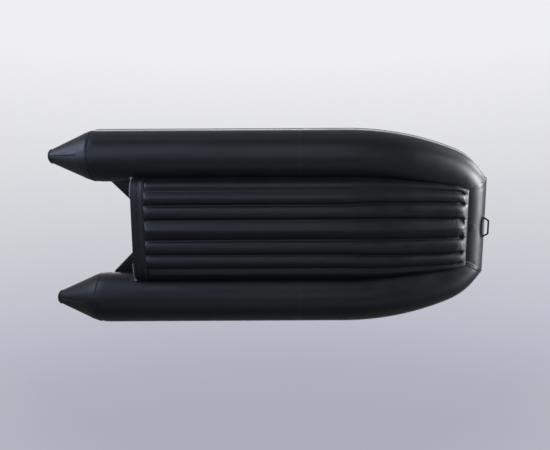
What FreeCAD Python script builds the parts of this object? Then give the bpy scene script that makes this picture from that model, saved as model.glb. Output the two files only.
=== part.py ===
import FreeCAD, Part
import math
import os

# Inflatable boat with a ribbed air floor, a raked wooden transom, cone ends and a blunt bow.
# Millimetres. +X is forward, +Y is port, +Z is up. The origin is under the middle of the whole
# boat, on the ground that the air floor rests on.

# Buoyancy tubes
tube_r = 206.0
tube_spacing = 1176.0
tube_ground_gap = 25.0
hull_length = 3584.0
bulkhead_share = 0.5637

# Stern cones
cone_length = 299.0
cone_tip_r = 52.0
cone_seam_r = 180.0
cone_blend_length = 140.0
tip_cap_length = 14.0
tip_cap_round = 6.0

# Bow: two arcs in a plane that tilts up inboard, a short run, then a mitre to the cross tube
bow_tilt = 18.5
bow_arc_r = 2200.0
bow_arc_turn = 21.5
bow_corner_r = 370.0
bow_end_angle = 48.0
bow_run = 42.0

# Inflatable floor
floor_lap = 4.0
floor_seam_angle = 55.0
floor_keel_base = 45.0
floor_thickness = 90.0
floor_top_bulge = 20.0
floor_bow_inset = 11.5
floor_front_setback = 5.0
keel_rise_lead = 73.0
valley_shares = (0.195, 0.478, 0.745, 1.0)
front_valley_shares = (0.23, 0.61, 0.87, 1.0)
rib_crest_heights = (0.0, 10.0, 14.0, 52.0)
bottom_curve_power = 8
bow_seam_shares = ((5.0, 0.98), (9.0, 0.92), (12.5, 0.84), (16.0, 0.73), (19.0, 0.6),
                   (21.5, 0.48), (30.0, 0.36), (38.0, 0.24), (48.0, 0.08))
bow_fullness_shares = (1.0, 1.0, 1.0, 0.97, 0.94, 0.9, 0.84, 0.76, 0.6)
front_fullness_share = 0.3
least_bulge = 0.3
rib_end_shares = ((0.15, 0.6), (0.45, 0.86), (1.0, 1.0))
rib_end_length = 110.0

# Aft band under the transom
band_from_tip = 692.0
band_length = 98.0
band_thickness = 5.0

# Transom
transom_thickness = 30.0
transom_rake = 10.0
transom_foot_inset = 15.0
transom_shoulder_rise = 63.0
transom_notch_drop = 7.0
transom_notch_width = 450.0
transom_notch_slope = 35.0
transom_shoulder_width = 620.0
transom_side_drop = 63.0
transom_side_overrun = 25.0
pad_width = 300.0
pad_height = 190.0
pad_thickness = 9.0
pad_top_drop = 6.0
profile_thickness = 12.0
profile_lip = 7.8
profile_start_angle = 52.0
profile_end_angle = 146.0
knee_leg = 217.0
knee_z = 322.0
knee_thickness = 16.0
knee_lip = 6.0

# Rubbing strake: a flat band with a raised ridge along the tubes' widest line
strake_from_tip = 369.0
strake_width = 136.0
strake_thickness = 4.0
ridge_width = 28.0
ridge_height = 5.0

# Bow handle
handle_angle = 45.0
handle_reach = 52.0
handle_bar_r = 7.0
handle_foot_spacing = 150.0
handle_grip_length = 108.0
handle_base_length = 180.0
handle_base_height = 44.0
handle_base_thickness = 7.0
bow_patch_r = 30.0
bow_patch_thickness = 3.0
bow_patch_angle = 12.0

# Side carry handles on the tubes' inner shoulders
carry_angle = 40.0
carry_length = 190.0
carry_rise = 38.0
carry_bar_r = 9.0
carry_pad_r = 34.0
carry_pad_thickness = 5.0
carry_from_tip = 491.5

# Air valves
valve_r = 36.0
valve_lip = 9.0
valve_cap_r = 24.0
valve_cap_rise = 7.0
valve_angle = 18.0
aft_valve_from_tip = 811.5
fore_valve_lead = 27.0

# Drain valves and towing eyes on the transom
drain_flange_r = 34.0
drain_bore_r = 13.0
drain_tube_r = 19.0
drain_flange_thickness = 6.0
drain_y = 205.0
drain_z = 165.0
eye_y = 300.0
eye_z = 235.0
eye_plate_r = 30.0
eye_plate_thickness = 5.0
eye_ring_r = 26.0
eye_wire_r = 5.0

# Seat rails and sliding seats
rail_inset = 33.0
rail_drop = 51.0
rail_aft_gap = 284.5
rail_fore_lead = 47.0
seat_depth = 240.0
seat_thickness = 24.0
seat_bearing = 28.0
seat_corner_r = 30.0
seat_edge_round = 5.0
slide_clearance = 0.3
aft_seat_share = 0.274
fore_seat_share = 0.788

# Rowlocks and oars, stowed along the tube tops
rowlock_share = 0.52
rowlock_outset = 60.0
rowlock_base_r = 58.0
rowlock_base_rise = 15.0
rowlock_base_round = 8.0
pin_r = 8.0
pin_clearance = 0.4
pin_cap_r = 15.0
pin_cap_height = 6.0
pin_cap_gap = 1.5
oar_rise = 40.0
loom_r = 16.0
collar_r = 27.0
collar_length = 96.0
oar_inboard = 480.0
oar_outboard = 1020.0
grip_r = 19.0
grip_length = 125.0
grip_round = 6.0
blade_length = 430.0
blade_width = 150.0
blade_thickness = 9.0
blade_neck_width = 60.0
blade_wide_share = 0.6
blade_round = 40.0
rest_from_pin = 580.0
rest_length = 60.0
rest_width = 52.0
rest_gap = 5.0

# Room past a face for cuts
overrun = 40.0

V = FreeCAD.Vector
along = V(1, 0, 0)
to_port = V(0, 1, 0)
up = V(0, 0, 1)
origin = V(0, 0, 0)


def radians(angle):
    return math.radians(angle)


def sine(angle):
    return math.sin(radians(angle))


def cosine(angle):
    return math.cos(radians(angle))


def tangent(angle):
    return math.tan(radians(angle))


# Places that follow from the sizes above
tube_y = tube_spacing / 2
tube_height = tube_r + tube_ground_gap
tube_top = tube_height + tube_r
tip_x = -(hull_length + strake_thickness + ridge_height) / 2
bow_face_x = tip_x + hull_length
seam_x = tip_x + cone_length
full_x = seam_x + cone_blend_length
bulkhead_x = tip_x + bulkhead_share * hull_length
outer_y = tube_y + tube_r
band_aft_x = tip_x + band_from_tip
band_fore_x = band_aft_x + band_length
transom_x = band_aft_x + transom_foot_inset
transom_side_z = tube_top - transom_side_drop
transom_shoulder_z = tube_top + transom_shoulder_rise
transom_notch_z = tube_top - transom_notch_drop
side_lean = (transom_side_z - tube_height) * tangent(transom_rake)
profile_width = 2 * (side_lean + transom_thickness / 2 + profile_lip)
big = 2 * hull_length

arc_drop = bow_arc_r * (1 - cosine(bow_arc_turn))
corner_drop = bow_corner_r * (cosine(bow_arc_turn) - cosine(bow_end_angle))
run_drop = bow_run * sine(bow_end_angle)
arc_advance = bow_arc_r * sine(bow_arc_turn)
corner_advance = bow_corner_r * (sine(bow_end_angle) - sine(bow_arc_turn))
run_advance = bow_run * cosine(bow_end_angle)
bow_x = bow_face_x - tube_r
bow_start_x = bow_x - arc_advance - corner_advance - run_advance
keel_rise_x = bow_start_x - keel_rise_lead
plane_up = V(0, sine(bow_tilt), cosine(bow_tilt))

rail_inner_y = tube_y - tube_r + rail_inset
rail_top_z = tube_top - rail_drop
rail_aft_x = transom_x + rail_aft_gap
rail_fore_x = bow_start_x + rail_fore_lead
rail_length = rail_fore_x - rail_aft_x
seat_span = 2 * (rail_inner_y + seat_bearing)
rowlock_x = rail_aft_x + rowlock_share * rail_length
pin_y = tube_y + rowlock_outset
rowlock_base_top = tube_top + rowlock_base_rise
oar_z = rowlock_base_top + oar_rise
rest_x = rowlock_x - rest_from_pin


def plane_point(advance, inboard):
    """A point of the port bow plane, from where the bow arcs start."""
    return V(bow_start_x + advance, tube_y - inboard * cosine(bow_tilt),
             tube_height + inboard * sine(bow_tilt))


def plane_heading(angle):
    """The direction of travel in the port bow plane."""
    return V(cosine(angle), -sine(angle) * cosine(bow_tilt), sine(angle) * sine(bow_tilt))


def bow_axis_point(angle):
    """The port tube's axis where its heading in the bow plane is this angle."""
    if angle <= bow_arc_turn:
        return plane_point(bow_arc_r * sine(angle), bow_arc_r * (1 - cosine(angle)))
    advance = bow_corner_r * (sine(angle) - sine(bow_arc_turn))
    inboard = bow_corner_r * (cosine(bow_arc_turn) - cosine(angle))
    return plane_point(arc_advance + advance, arc_drop + inboard)


arc_centre = plane_point(0, bow_arc_r)
corner_centre = plane_point(arc_advance - bow_corner_r * sine(bow_arc_turn),
                            arc_drop + bow_corner_r * cosine(bow_arc_turn))
mitre_point = plane_point(arc_advance + corner_advance + run_advance,
                          arc_drop + corner_drop + run_drop)
bow_y = mitre_point.y
bow_z = mitre_point.z
end_heading = plane_heading(bow_end_angle)
mitre_normal = end_heading.sub(to_port)
mitre_normal.normalize()
half_turn = math.degrees(math.acos(-end_heading.y)) / 2
plan_slope = math.degrees(math.atan2(-end_heading.y, end_heading.x))
corner_y = bow_y + tube_r * (1 - sine(plan_slope)) / cosine(plan_slope)


def starboard(shape):
    return shape.mirror(origin, to_port)


def one(shape):
    """The shape as one clean solid, or as a compound of its solids."""
    shape = shape.removeSplitter()
    return shape.Solids[0] if len(shape.Solids) == 1 else Part.makeCompound(shape.Solids)


def block_beyond(point, normal):
    """A large block on the side of a plane that its normal points to."""
    block = Part.makeBox(big, big, big, V(-big / 2, -big / 2, 0))
    block.Placement = FreeCAD.Placement(point, FreeCAD.Rotation(up, normal))
    return block


def box_between(low, high):
    size = high.sub(low)
    return Part.makeBox(size.x, size.y, size.z, low)


def bent_rod(radius, points):
    """A round bar through the points, mitred at its corners."""
    start_rim = Part.makeCircle(radius, points[0], points[1].sub(points[0]))
    path = Part.Wire(Part.makePolygon(points))
    return path.makePipeShell([Part.Wire(start_rim)], True, False, 1)


def face_of(points):
    return Part.Face(Part.makePolygon(points + [points[0]]))


def disc(radius, thickness, centre, direction):
    return Part.makeCylinder(radius, thickness, centre, direction)


def rod(radius, start, end):
    way = end.sub(start)
    return Part.makeCylinder(radius, way.Length, start, way)


# Tubes


def aft_run(extra, start_x):
    """The port tube from the cone seam to the bulkhead, thicker all round by extra."""
    axis_start = V(seam_x, tube_y, tube_height)
    seam_rim = axis_start.add(V(0, 0, cone_seam_r + extra))
    full_rim = V(full_x, tube_y, tube_height + tube_r + extra)
    rise = tube_r - cone_seam_r
    blend_r = (cone_blend_length ** 2 + rise ** 2) / (2 * rise)
    half_way = math.asin(cone_blend_length / blend_r) / 2
    middle = V(full_x - blend_r * math.sin(half_way), tube_y,
               full_rim.z - blend_r * (1 - math.cos(half_way)))
    end_rim = V(bulkhead_x, tube_y, full_rim.z)
    axis_end = V(bulkhead_x, tube_y, tube_height)
    edges = [Part.LineSegment(axis_start, seam_rim).toShape(),
             Part.Arc(seam_rim, middle, full_rim).toShape(),
             Part.LineSegment(full_rim, end_rim).toShape(),
             Part.LineSegment(end_rim, axis_end).toShape(),
             Part.LineSegment(axis_end, axis_start).toShape()]
    tube = Part.Face(Part.Wire(edges)).revolve(axis_start, along, 360)
    if start_x > seam_x:
        tube = tube.cut(block_beyond(V(start_x, 0, 0), along.negative()))
    return tube


def arc_tube(radius, angle_from, angle_to, centre):
    rim = Part.makeCircle(radius, bow_axis_point(angle_from), plane_heading(angle_from))
    face = Part.Face(Part.Wire(rim))
    return face.revolve(centre, plane_up.negative(), angle_to - angle_from)


def bow_run_uncut(extra):
    """The port tube from the bulkhead round the bow and past the mitre, thicker by extra."""
    radius = tube_r + extra
    straight = rod(radius, V(bulkhead_x, tube_y, tube_height),
                   V(bow_start_x, tube_y, tube_height))
    arc = arc_tube(radius, 0, bow_arc_turn, arc_centre)
    corner = arc_tube(radius, bow_arc_turn, bow_end_angle, corner_centre)
    corner_end = bow_axis_point(bow_end_angle)
    reach = bow_run + radius * tangent(half_turn) + overrun
    nose = Part.makeCylinder(radius, reach, corner_end, end_heading)
    return one(straight.fuse([arc, corner, nose]))


def bow_run_solid(extra):
    return one(bow_run_uncut(extra).cut(block_beyond(mitre_point, mitre_normal)))


def cross_uncut(extra):
    reach = bow_y + tube_r
    return rod(tube_r + extra, V(bow_x, reach, bow_z), V(bow_x, -reach, bow_z))


def cross_run(extra):
    """The bow's cross tube between its two mitres, thicker by extra."""
    beyond = block_beyond(mitre_point, mitre_normal.negative())
    return one(cross_uncut(extra).cut([beyond, starboard(beyond)]))


def stern_cone():
    base = V(tip_x + tip_cap_length, tube_y, tube_height)
    return Part.makeCone(cone_tip_r, cone_seam_r, cone_length - tip_cap_length, base, along)


def tip_cap():
    cap = disc(cone_tip_r, tip_cap_length, V(tip_x, tube_y, tube_height), along)
    rim = [edge for edge in cap.Edges if edge.BoundBox.XMax < tip_x + tip_cap_length / 2]
    return cap.makeFillet(tip_cap_round, rim)


# Strake


def side_slab(width):
    """A slab through the tubes' widest line, straight aft and rising to the bow corner."""
    tilt = math.degrees(math.atan2(bow_z - tube_height, outer_y - corner_y))
    ends = [V(seam_x, tube_y, 0), V(bow_start_x, tube_y, 0), bow_axis_point(bow_arc_turn),
            mitre_point, V(bow_face_x + overrun, bow_y, 0),
            V(bow_face_x + overrun, outer_y + overrun, 0), V(seam_x, outer_y + overrun, 0)]
    slab_up = V(0, sine(tilt), cosine(tilt))
    points = [V(p.x, p.y, tube_height + (outer_y - p.y) * tangent(tilt)) for p in ends]
    low = face_of([p.sub(slab_up * (width / 2)) for p in points])
    return low.extrude(slab_up * width)


def bow_slab(width):
    reach = outer_y + overrun
    return box_between(V(bow_x, -reach, bow_z - width / 2),
                       V(bow_face_x + overrun, reach, bow_z + width / 2))


def side_strip(inner, outer, width):
    """A strip on the port tube between two heights above it, along the strake's line."""
    start_x = tip_x + strake_from_tip
    slab = side_slab(width)
    aft = aft_run(outer, start_x).cut(aft_run(inner, seam_x)).common(slab)
    fore = bow_run_solid(outer).cut(bow_run_solid(inner)).common(slab)
    return one(aft.fuse(fore))


def bow_strip(inner, outer, width):
    return one(cross_run(outer).cut(cross_run(inner)).common(bow_slab(width)))


# Inflatable floor


def seam_place(angle, share):
    """Where the floor meets the port tube, by heading and by share of the seam's angle."""
    centre = bow_axis_point(angle)
    heading = plane_heading(angle)
    inward = heading.cross(up)
    inward.normalize()
    inward = inward if inward.y < 0 else inward.negative()
    down = heading.cross(inward)
    down.normalize()
    down = down if down.z < 0 else down.negative()
    turn = floor_seam_angle * share
    reach = tube_r + floor_lap
    return centre.add(inward * (reach * sine(turn))).add(down * (reach * cosine(turn)))


floor_front_x = bow_x - floor_front_setback
floor_front_z = bow_z - tube_r - floor_lap


def keel_base(x):
    """Height of the floor's bottom at the middle, between its ribs."""
    if x <= keel_rise_x:
        return floor_keel_base
    share = (x - keel_rise_x) / (floor_front_x - keel_rise_x)
    return floor_keel_base + (floor_front_z - floor_keel_base) * share ** 2


def bottom_height(share, x, edge_z):
    base = keel_base(x)
    return base + (edge_z - base) * share ** bottom_curve_power


def bulged_edge(start, end, middle_z):
    """An edge of a cross-section, bulging to a height at its middle."""
    middle = V(start.x, (start.y + end.y) / 2, middle_z)
    chord_z = (start.z + end.z) / 2
    if abs(chord_z - middle_z) < least_bulge:
        return Part.LineSegment(start, end).toShape()
    return Part.Arc(start, middle, end).toShape()


def rib_depths():
    """How far each rib hangs below the line between its valleys, middle rib first."""
    edge_z = seam_place(0, 1).z
    depths = []
    inner_share = valley_shares[0]
    for share, crest in zip(valley_shares, rib_crest_heights):
        ends = bottom_height(inner_share, band_fore_x, edge_z)
        ends = ends + bottom_height(share, band_fore_x, edge_z)
        depths.append(ends / 2 - crest)
        inner_share = share
    return depths


def valleys_at(x):
    """The valleys by share of the floor's half width, spread out towards the bow."""
    share = (x - bow_start_x) / (floor_front_x - bow_start_x)
    share = min(max(share, 0), 1)
    return [near + (far - near) * share
            for near, far in zip(valley_shares, front_valley_shares)]


def rib_widths(half_width, shares):
    """The ribs' widths, middle rib first."""
    inner_shares = [-shares[0]] + list(shares)
    return [half_width * (outer - inner) for inner, outer in zip(inner_shares, shares)]


def floor_section(x, edge_y, edge_z, fullness):
    """The ribbed cross-section of the floor, port to starboard below and back above."""
    shares = valleys_at(x)
    sides = [-s for s in reversed(shares)] + shares
    full_widths = rib_widths(seam_place(0, 1).y, valley_shares)
    half = [depth * width / full_width for depth, width, full_width
            in zip(rib_depths(), rib_widths(edge_y, shares), full_widths)]
    depths = list(reversed(half))[:-1] + half
    lows = [V(x, s * edge_y, bottom_height(abs(s), x, edge_z)) for s in sides]
    top_z = keel_base(x) + floor_thickness
    tops = [V(x, s * edge_y, top_z) for s in sides]
    edges = []
    for start, end, depth in zip(lows, lows[1:], depths):
        edges.append(bulged_edge(start, end, (start.z + end.z) / 2 - depth * fullness))
    edges.append(Part.LineSegment(lows[-1], tops[-1]).toShape())
    for start, end in zip(reversed(tops), list(reversed(tops))[1:]):
        edges.append(bulged_edge(start, end, top_z + floor_top_bulge * fullness))
    edges.append(Part.LineSegment(tops[0], lows[0]).toShape())
    return Part.Wire(edges)


def floor_solid():
    edge = seam_place(0, 1)
    sections = [floor_section(transom_x, edge.y, edge.z, 0)]
    sections.append(floor_section(band_fore_x, edge.y, edge.z, 0))
    for place_share, full_share in rib_end_shares:
        x = band_fore_x + place_share * rib_end_length
        sections.append(floor_section(x, edge.y, edge.z, full_share))
    sections.append(floor_section(keel_rise_x, edge.y, edge.z, 1))
    sections.append(floor_section(bow_start_x, edge.y, edge.z, 1))
    for (angle, seam_share), full_share in zip(bow_seam_shares, bow_fullness_shares):
        place = seam_place(angle, seam_share)
        sections.append(floor_section(place.x, place.y, place.z, full_share))
    sections.append(floor_section(floor_front_x, bow_y - floor_bow_inset, floor_front_z,
                                  front_fullness_share))
    return Part.makeLoft(sections, True, True)


def foot_line():
    """The line across the boat, at the band's aft edge, that the transom stands on."""
    edge = seam_place(0, 1)
    shares = [-s for s in reversed(valley_shares)] + list(valley_shares)
    return [V(band_aft_x, s * edge.y, bottom_height(abs(s), band_aft_x, edge.z))
            for s in shares]


def aft_band():
    """The flat band that closes the floor under the transom's foot."""
    top = foot_line()
    low = [p.sub(up * band_thickness) for p in reversed(top)]
    return face_of(top + low).extrude(along * band_length)


def below_foot():
    """The room under the transom's foot line, out to the tubes' axes."""
    top = foot_line()
    wings = [V(band_aft_x, tube_y, top[-1].z), V(band_aft_x, tube_y, -overrun),
             V(band_aft_x, -tube_y, -overrun), V(band_aft_x, -tube_y, top[0].z)]
    room = face_of(top + wings).extrude(along * (band_length + 2 * overrun))
    room.translate(along * -overrun)
    return room


# Transom


def raked(shape):
    """Tilts a shape built upright at the transom's foot, top aft."""
    shape.rotate(V(transom_x, 0, floor_keel_base), to_port, -transom_rake)
    return shape


def transom_blank():
    side_y = tube_y - math.sqrt(tube_r ** 2 - (transom_side_z - tube_height) ** 2)
    half_notch = transom_notch_width / 2
    foot_z = floor_keel_base - overrun / 2
    wide_y = tube_y - tube_r / 2
    port_side = [(0, foot_z), (wide_y, foot_z), (wide_y, tube_height),
                 (side_y + transom_side_overrun, transom_side_z),
                 (transom_shoulder_width / 2, transom_shoulder_z),
                 (half_notch, transom_shoulder_z),
                 (half_notch - transom_notch_slope, transom_notch_z)]
    other_side = [(-y, z) for y, z in reversed(port_side[1:])]
    face = face_of([V(transom_x, y, z) for y, z in port_side + other_side])
    return raked(face.extrude(along * transom_thickness))


def pad(face_side):
    """A pad on the transom's aft (-1) or fore (1) face, under the notch."""
    top = transom_notch_z - pad_top_drop
    start = transom_x - pad_thickness if face_side < 0 else transom_x + transom_thickness
    block = box_between(V(start, -pad_width / 2, top - pad_height),
                        V(start + pad_thickness, pad_width / 2, top))
    edges = [e for e in block.Edges
             if abs(e.firstVertex().X - e.lastVertex().X) > pad_thickness / 2]
    return raked(block.makeFillet(pad_thickness, edges))


def transom_profile():
    """The rubber strip that holds the board to the port tube."""
    start = V(transom_x + transom_thickness / 2 - profile_width / 2, tube_y, tube_height)
    start.x = start.x - (tube_height - floor_keel_base) * tangent(transom_rake)
    sweep = profile_end_angle - profile_start_angle
    ring = Part.makeCylinder(tube_r + profile_thickness, profile_width, start, along, sweep)
    ring.rotate(start, along, ring_turn(ring, start))
    return ring


def ring_turn(ring, start):
    """How far a pie sector has to turn to start at the profile's lower angle."""
    centre = ring.CenterOfMass.sub(start)
    now = math.degrees(math.atan2(centre.z, centre.y))
    wanted = -90 - (profile_start_angle + profile_end_angle) / 2
    return wanted - now


def knee():
    """A corner knee between the board's aft face and the port tube."""
    face_x = transom_x - (knee_z - floor_keel_base) * tangent(transom_rake)
    corner_x = face_x + transom_thickness / 2
    deep_y = tube_y - tube_r / 2
    wall_y = tube_y - math.sqrt(tube_r ** 2 - (tube_height - knee_z) ** 2)
    points = [V(corner_x, deep_y, knee_z), V(corner_x, wall_y - knee_leg, knee_z),
              V(face_x - knee_lip, wall_y - knee_leg, knee_z),
              V(face_x - knee_leg, wall_y - knee_lip, knee_z),
              V(face_x - knee_leg, deep_y, knee_z)]
    return face_of(points).extrude(up * knee_thickness)


def on_transom(y, z, depth):
    """A point by height and by depth ahead of the raked transom's aft face."""
    lift = z - floor_keel_base
    return V(transom_x - lift * sine(transom_rake) + depth * cosine(transom_rake), y,
             floor_keel_base + lift * cosine(transom_rake) + depth * sine(transom_rake))


transom_ahead = V(cosine(transom_rake), 0, sine(transom_rake))


def drain_parts(y):
    """A bored drain: a sleeve through the board with a flange on its aft face."""
    sleeve = disc(drain_tube_r, transom_thickness, on_transom(y, drain_z, 0), transom_ahead)
    flange = disc(drain_flange_r, drain_flange_thickness,
                  on_transom(y, drain_z, -drain_flange_thickness), transom_ahead)
    bore = disc(drain_bore_r, transom_thickness + 2 * overrun,
                on_transom(y, drain_z, -overrun), transom_ahead)
    return one(sleeve.fuse(flange).cut(bore))


def drain_hole(y):
    return disc(drain_tube_r, transom_thickness + 2 * overrun,
                on_transom(y, drain_z, -overrun), transom_ahead)


def towing_eye():
    plate = disc(eye_plate_r, eye_plate_thickness,
                 on_transom(eye_y, eye_z, -eye_plate_thickness), transom_ahead)
    centre = on_transom(eye_y, eye_z, -eye_plate_thickness)
    ring = Part.makeTorus(eye_ring_r, eye_wire_r, centre, to_port)
    ring = ring.cut(block_beyond(on_transom(0, eye_z, -eye_plate_thickness / 2),
                                 transom_ahead))
    return one(plate.fuse(ring))


# Fittings on the tubes


def tube_spot(x, y_sign, angle, height):
    """A point above a straight tube's skin, at an angle inboard from its top."""
    reach = tube_r + height
    return V(x, y_sign * (tube_y - reach * sine(angle)), tube_height + reach * cosine(angle))


def tube_out(y_sign, angle):
    return V(0, -y_sign * sine(angle), cosine(angle))


def carry_handle(x):
    """A grip loop on two round pads."""
    outward = tube_out(1, carry_angle)
    feet = [tube_spot(x + end * carry_length / 2, 1, carry_angle, -carry_pad_thickness)
            for end in (-1, 1)]
    crest = outward * (carry_rise + carry_pad_thickness)
    lean = along * (carry_rise / 2)
    tops = [feet[0].add(crest).add(lean), feet[1].add(crest).sub(lean)]
    bar = bent_rod(carry_bar_r, [feet[0], tops[0], tops[1], feet[1]])
    pads = [disc(carry_pad_r, 2 * carry_pad_thickness, foot, outward) for foot in feet]
    return one(bar.fuse(pads))


def valve(spot, outward):
    lip = disc(valve_r, valve_lip + overrun / 2, spot.sub(outward * (overrun / 2)), outward)
    cap = disc(valve_cap_r, valve_cap_rise, spot.add(outward * valve_lip), outward)
    return one(lip.fuse(cap))


def seat_rail():
    """A rubber rail on the port tube's shoulder, with a level top."""
    deep = tube_y - tube_r / 2
    return box_between(V(rail_aft_x, rail_inner_y, tube_height + tube_r / 2),
                       V(rail_fore_x, deep, rail_top_z))


def seat(rail_share):
    x = rail_aft_x + rail_share * rail_length
    low = V(x - seat_depth / 2, -seat_span / 2, rail_top_z + slide_clearance)
    board = box_between(low, low.add(V(seat_depth, seat_span, seat_thickness)))
    corners = [e for e in board.Edges
               if abs(e.firstVertex().Z - e.lastVertex().Z) > seat_thickness / 2]
    board = board.makeFillet(seat_corner_r, corners)
    rims = [e for e in board.Edges
            if abs(e.BoundBox.ZMax - e.BoundBox.ZMin) < seat_edge_round
            and e.BoundBox.ZMin > low.z + seat_thickness / 2]
    return board.makeFillet(seat_edge_round, rims)


# Rowlocks and oars


def rowlock_base():
    block = disc(rowlock_base_r, rowlock_base_top - tube_height,
                 V(rowlock_x, pin_y, tube_height), up)
    rim = [e for e in block.Edges if e.BoundBox.ZMin > rowlock_base_top - rowlock_base_round]
    return block.makeFillet(rowlock_base_round, rim)


def rowlock_pin():
    cap_z = oar_z + collar_r + pin_cap_gap
    pin = rod(pin_r, V(rowlock_x, pin_y, rowlock_base_top), V(rowlock_x, pin_y, cap_z))
    cap = disc(pin_cap_r, pin_cap_height, V(rowlock_x, pin_y, cap_z), up)
    return one(pin.fuse(cap))


def pin_hole():
    return disc(pin_r + pin_clearance, 2 * collar_r + 2 * overrun,
                V(rowlock_x, pin_y, oar_z - collar_r - overrun), up)


def oar_loom():
    start = V(rowlock_x - oar_outboard + blade_length - blade_round, pin_y, oar_z)
    end = V(rowlock_x + oar_inboard - grip_length, pin_y, oar_z)
    return rod(loom_r, start, end).cut(pin_hole())


def oar_collar():
    start = V(rowlock_x - collar_length / 2, pin_y, oar_z)
    end = V(rowlock_x + collar_length / 2, pin_y, oar_z)
    sleeve = rod(collar_r, start, end).cut(rod(loom_r, start, end))
    return one(sleeve.cut(pin_hole()))


def oar_grip():
    end = V(rowlock_x + oar_inboard, pin_y, oar_z)
    grip = rod(grip_r, end.sub(along * grip_length), end)
    return grip.makeFillet(grip_round, [e for e in grip.Edges if e.Closed])


def oar_blade():
    tip = rowlock_x - oar_outboard
    root = tip + blade_length
    low_z = oar_z - blade_thickness / 2
    wide, neck = blade_width / 2, blade_neck_width / 2
    wide_end = tip + blade_length * blade_wide_share
    points = [V(tip, -wide, 0), V(wide_end, -wide, 0), V(root, -neck, 0),
              V(root, neck, 0), V(wide_end, wide, 0), V(tip, wide, 0)]
    points = [p.add(V(0, pin_y, low_z)) for p in points]
    blade = face_of(points).extrude(up * blade_thickness)
    tips = [e for e in blade.Edges if e.BoundBox.XMax < tip + blade_thickness
            and e.BoundBox.ZLength > blade_thickness / 2]
    blade = blade.makeFillet(blade_round, tips)
    socket = rod(loom_r, V(root - blade_round, pin_y, oar_z), V(root + overrun, pin_y, oar_z))
    return one(blade.cut(socket))


def oar_rest():
    low = V(rest_x - rest_length / 2, pin_y - rest_width / 2, tube_height)
    high = V(rest_x + rest_length / 2, pin_y + rest_width / 2, oar_z - loom_r - rest_gap)
    return box_between(low, high)


# Bow fittings


def turned_down(shape):
    """Turns a shape from dead ahead down round the cross tube to the handle's place."""
    shape.rotate(V(bow_x, 0, bow_z), to_port, handle_angle)
    return shape


def handle_base():
    strip = cross_run(handle_base_thickness).cut(cross_run(0))
    window = box_between(
        V(bow_x, -handle_base_length / 2, bow_z - handle_base_height / 2),
        V(bow_face_x + overrun, handle_base_length / 2, bow_z + handle_base_height / 2))
    return one(strip.common(turned_down(window)))


def handle_loop():
    foot_x = bow_face_x + handle_base_thickness / 2
    grip_x = bow_face_x + handle_reach - handle_bar_r
    feet = [V(foot_x, s * handle_foot_spacing / 2, bow_z) for s in (-1, 1)]
    tops = [V(grip_x, s * handle_grip_length / 2, bow_z) for s in (-1, 1)]
    return turned_down(bent_rod(handle_bar_r, [feet[0], tops[0], tops[1], feet[1]]))


def bow_patch():
    outward = V(sine(bow_patch_angle), 0, -cosine(bow_patch_angle))
    spot = V(bow_x, 0, bow_z).add(outward * (tube_r / 2))
    post = disc(bow_patch_r, tube_r, spot, outward)
    return one(cross_run(bow_patch_thickness).cut(cross_run(0)).common(post))


def build():
    tube_aft = aft_run(0, seam_x)
    tube_bow = bow_run_solid(0)
    tube_cross = cross_run(0)
    tubes = [tube_aft, starboard(tube_aft), tube_bow, starboard(tube_bow), tube_cross]

    band = one(aft_band().cut(tubes))
    board = one(transom_blank().cut(tubes + [below_foot()]))
    past_mitre = bow_run_uncut(0)
    around = [tube_aft, starboard(tube_aft), past_mitre, starboard(past_mitre), cross_uncut(0)]
    floor = one(floor_solid().cut(around + [board]))
    holes = [drain_hole(drain_y), drain_hole(-drain_y)]
    board = one(board.cut(holes))

    profile = one(transom_profile().cut(tubes + [board, floor, band]))
    gusset = one(knee().cut(tubes + [board, band, profile]))
    strip = side_strip(0, strake_thickness, strake_width)
    ridge = side_strip(strake_thickness, strake_thickness + ridge_height, ridge_width)
    strip_bow = bow_strip(0, strake_thickness, strake_width)
    ridge_bow = bow_strip(strake_thickness, strake_thickness + ridge_height, ridge_width)
    base = handle_base()
    loop = one(handle_loop().cut([base, cross_uncut(0)]))

    nodes = {
        "port_aft_tube": tube_aft,
        "port_bow_tube": tube_bow,
        "bow_cross_tube": tube_cross,
        "port_stern_cone": stern_cone(),
        "inflatable_floor": floor,
        "floor_aft_band": band,
        "transom_board": board,
        "transom_outer_pad": pad(-1),
        "transom_inner_pad": pad(1),
        "port_transom_profile": profile,
        "port_strake_band": strip,
        "port_strake_ridge": ridge,
        "bow_strake_band": strip_bow,
        "bow_strake_ridge": ridge_bow,
        "bow_handle_base": base,
        "bow_handle_loop": loop,
        "bow_patch": bow_patch(),
        "port_seat_rail": seat_rail().cut(tubes),
        "aft_seat": seat(aft_seat_share),
        "fore_seat": seat(fore_seat_share),
        "port_oar_loom": oar_loom(),
        "port_oar_collar": oar_collar(),
        "port_oar_grip": oar_grip(),
        "port_oar_blade": oar_blade(),
    }
    for name in [n for n in nodes if n.startswith("port_")]:
        nodes[name.replace("port_", "starboard_", 1)] = starboard(nodes[name])

    carries = [one(carry_handle(tip_x + carry_from_tip).cut(tubes))]
    valves = [valve(tube_spot(x, 1, valve_angle, 0), tube_out(1, valve_angle)).cut(tubes)
              for x in (tip_x + aft_valve_from_tip, bow_start_x + fore_valve_lead)]
    pairs = {
        "stern_tip_caps": [tip_cap()],
        "transom_knees": [gusset],
        "drain_valves": [drain_parts(drain_y)],
        "towing_eyes": [towing_eye()],
        "carry_handles": carries,
        "air_valves": valves,
        "rowlock_bases": [one(rowlock_base().cut(tubes))],
        "rowlock_pins": [rowlock_pin()],
        "oar_rests": [one(oar_rest().cut(tubes))],
    }
    for name, shapes in pairs.items():
        both = shapes + [starboard(s) for s in shapes]
        nodes[name] = Part.makeCompound([s for shape in both for s in shape.Solids])
    return nodes


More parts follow.
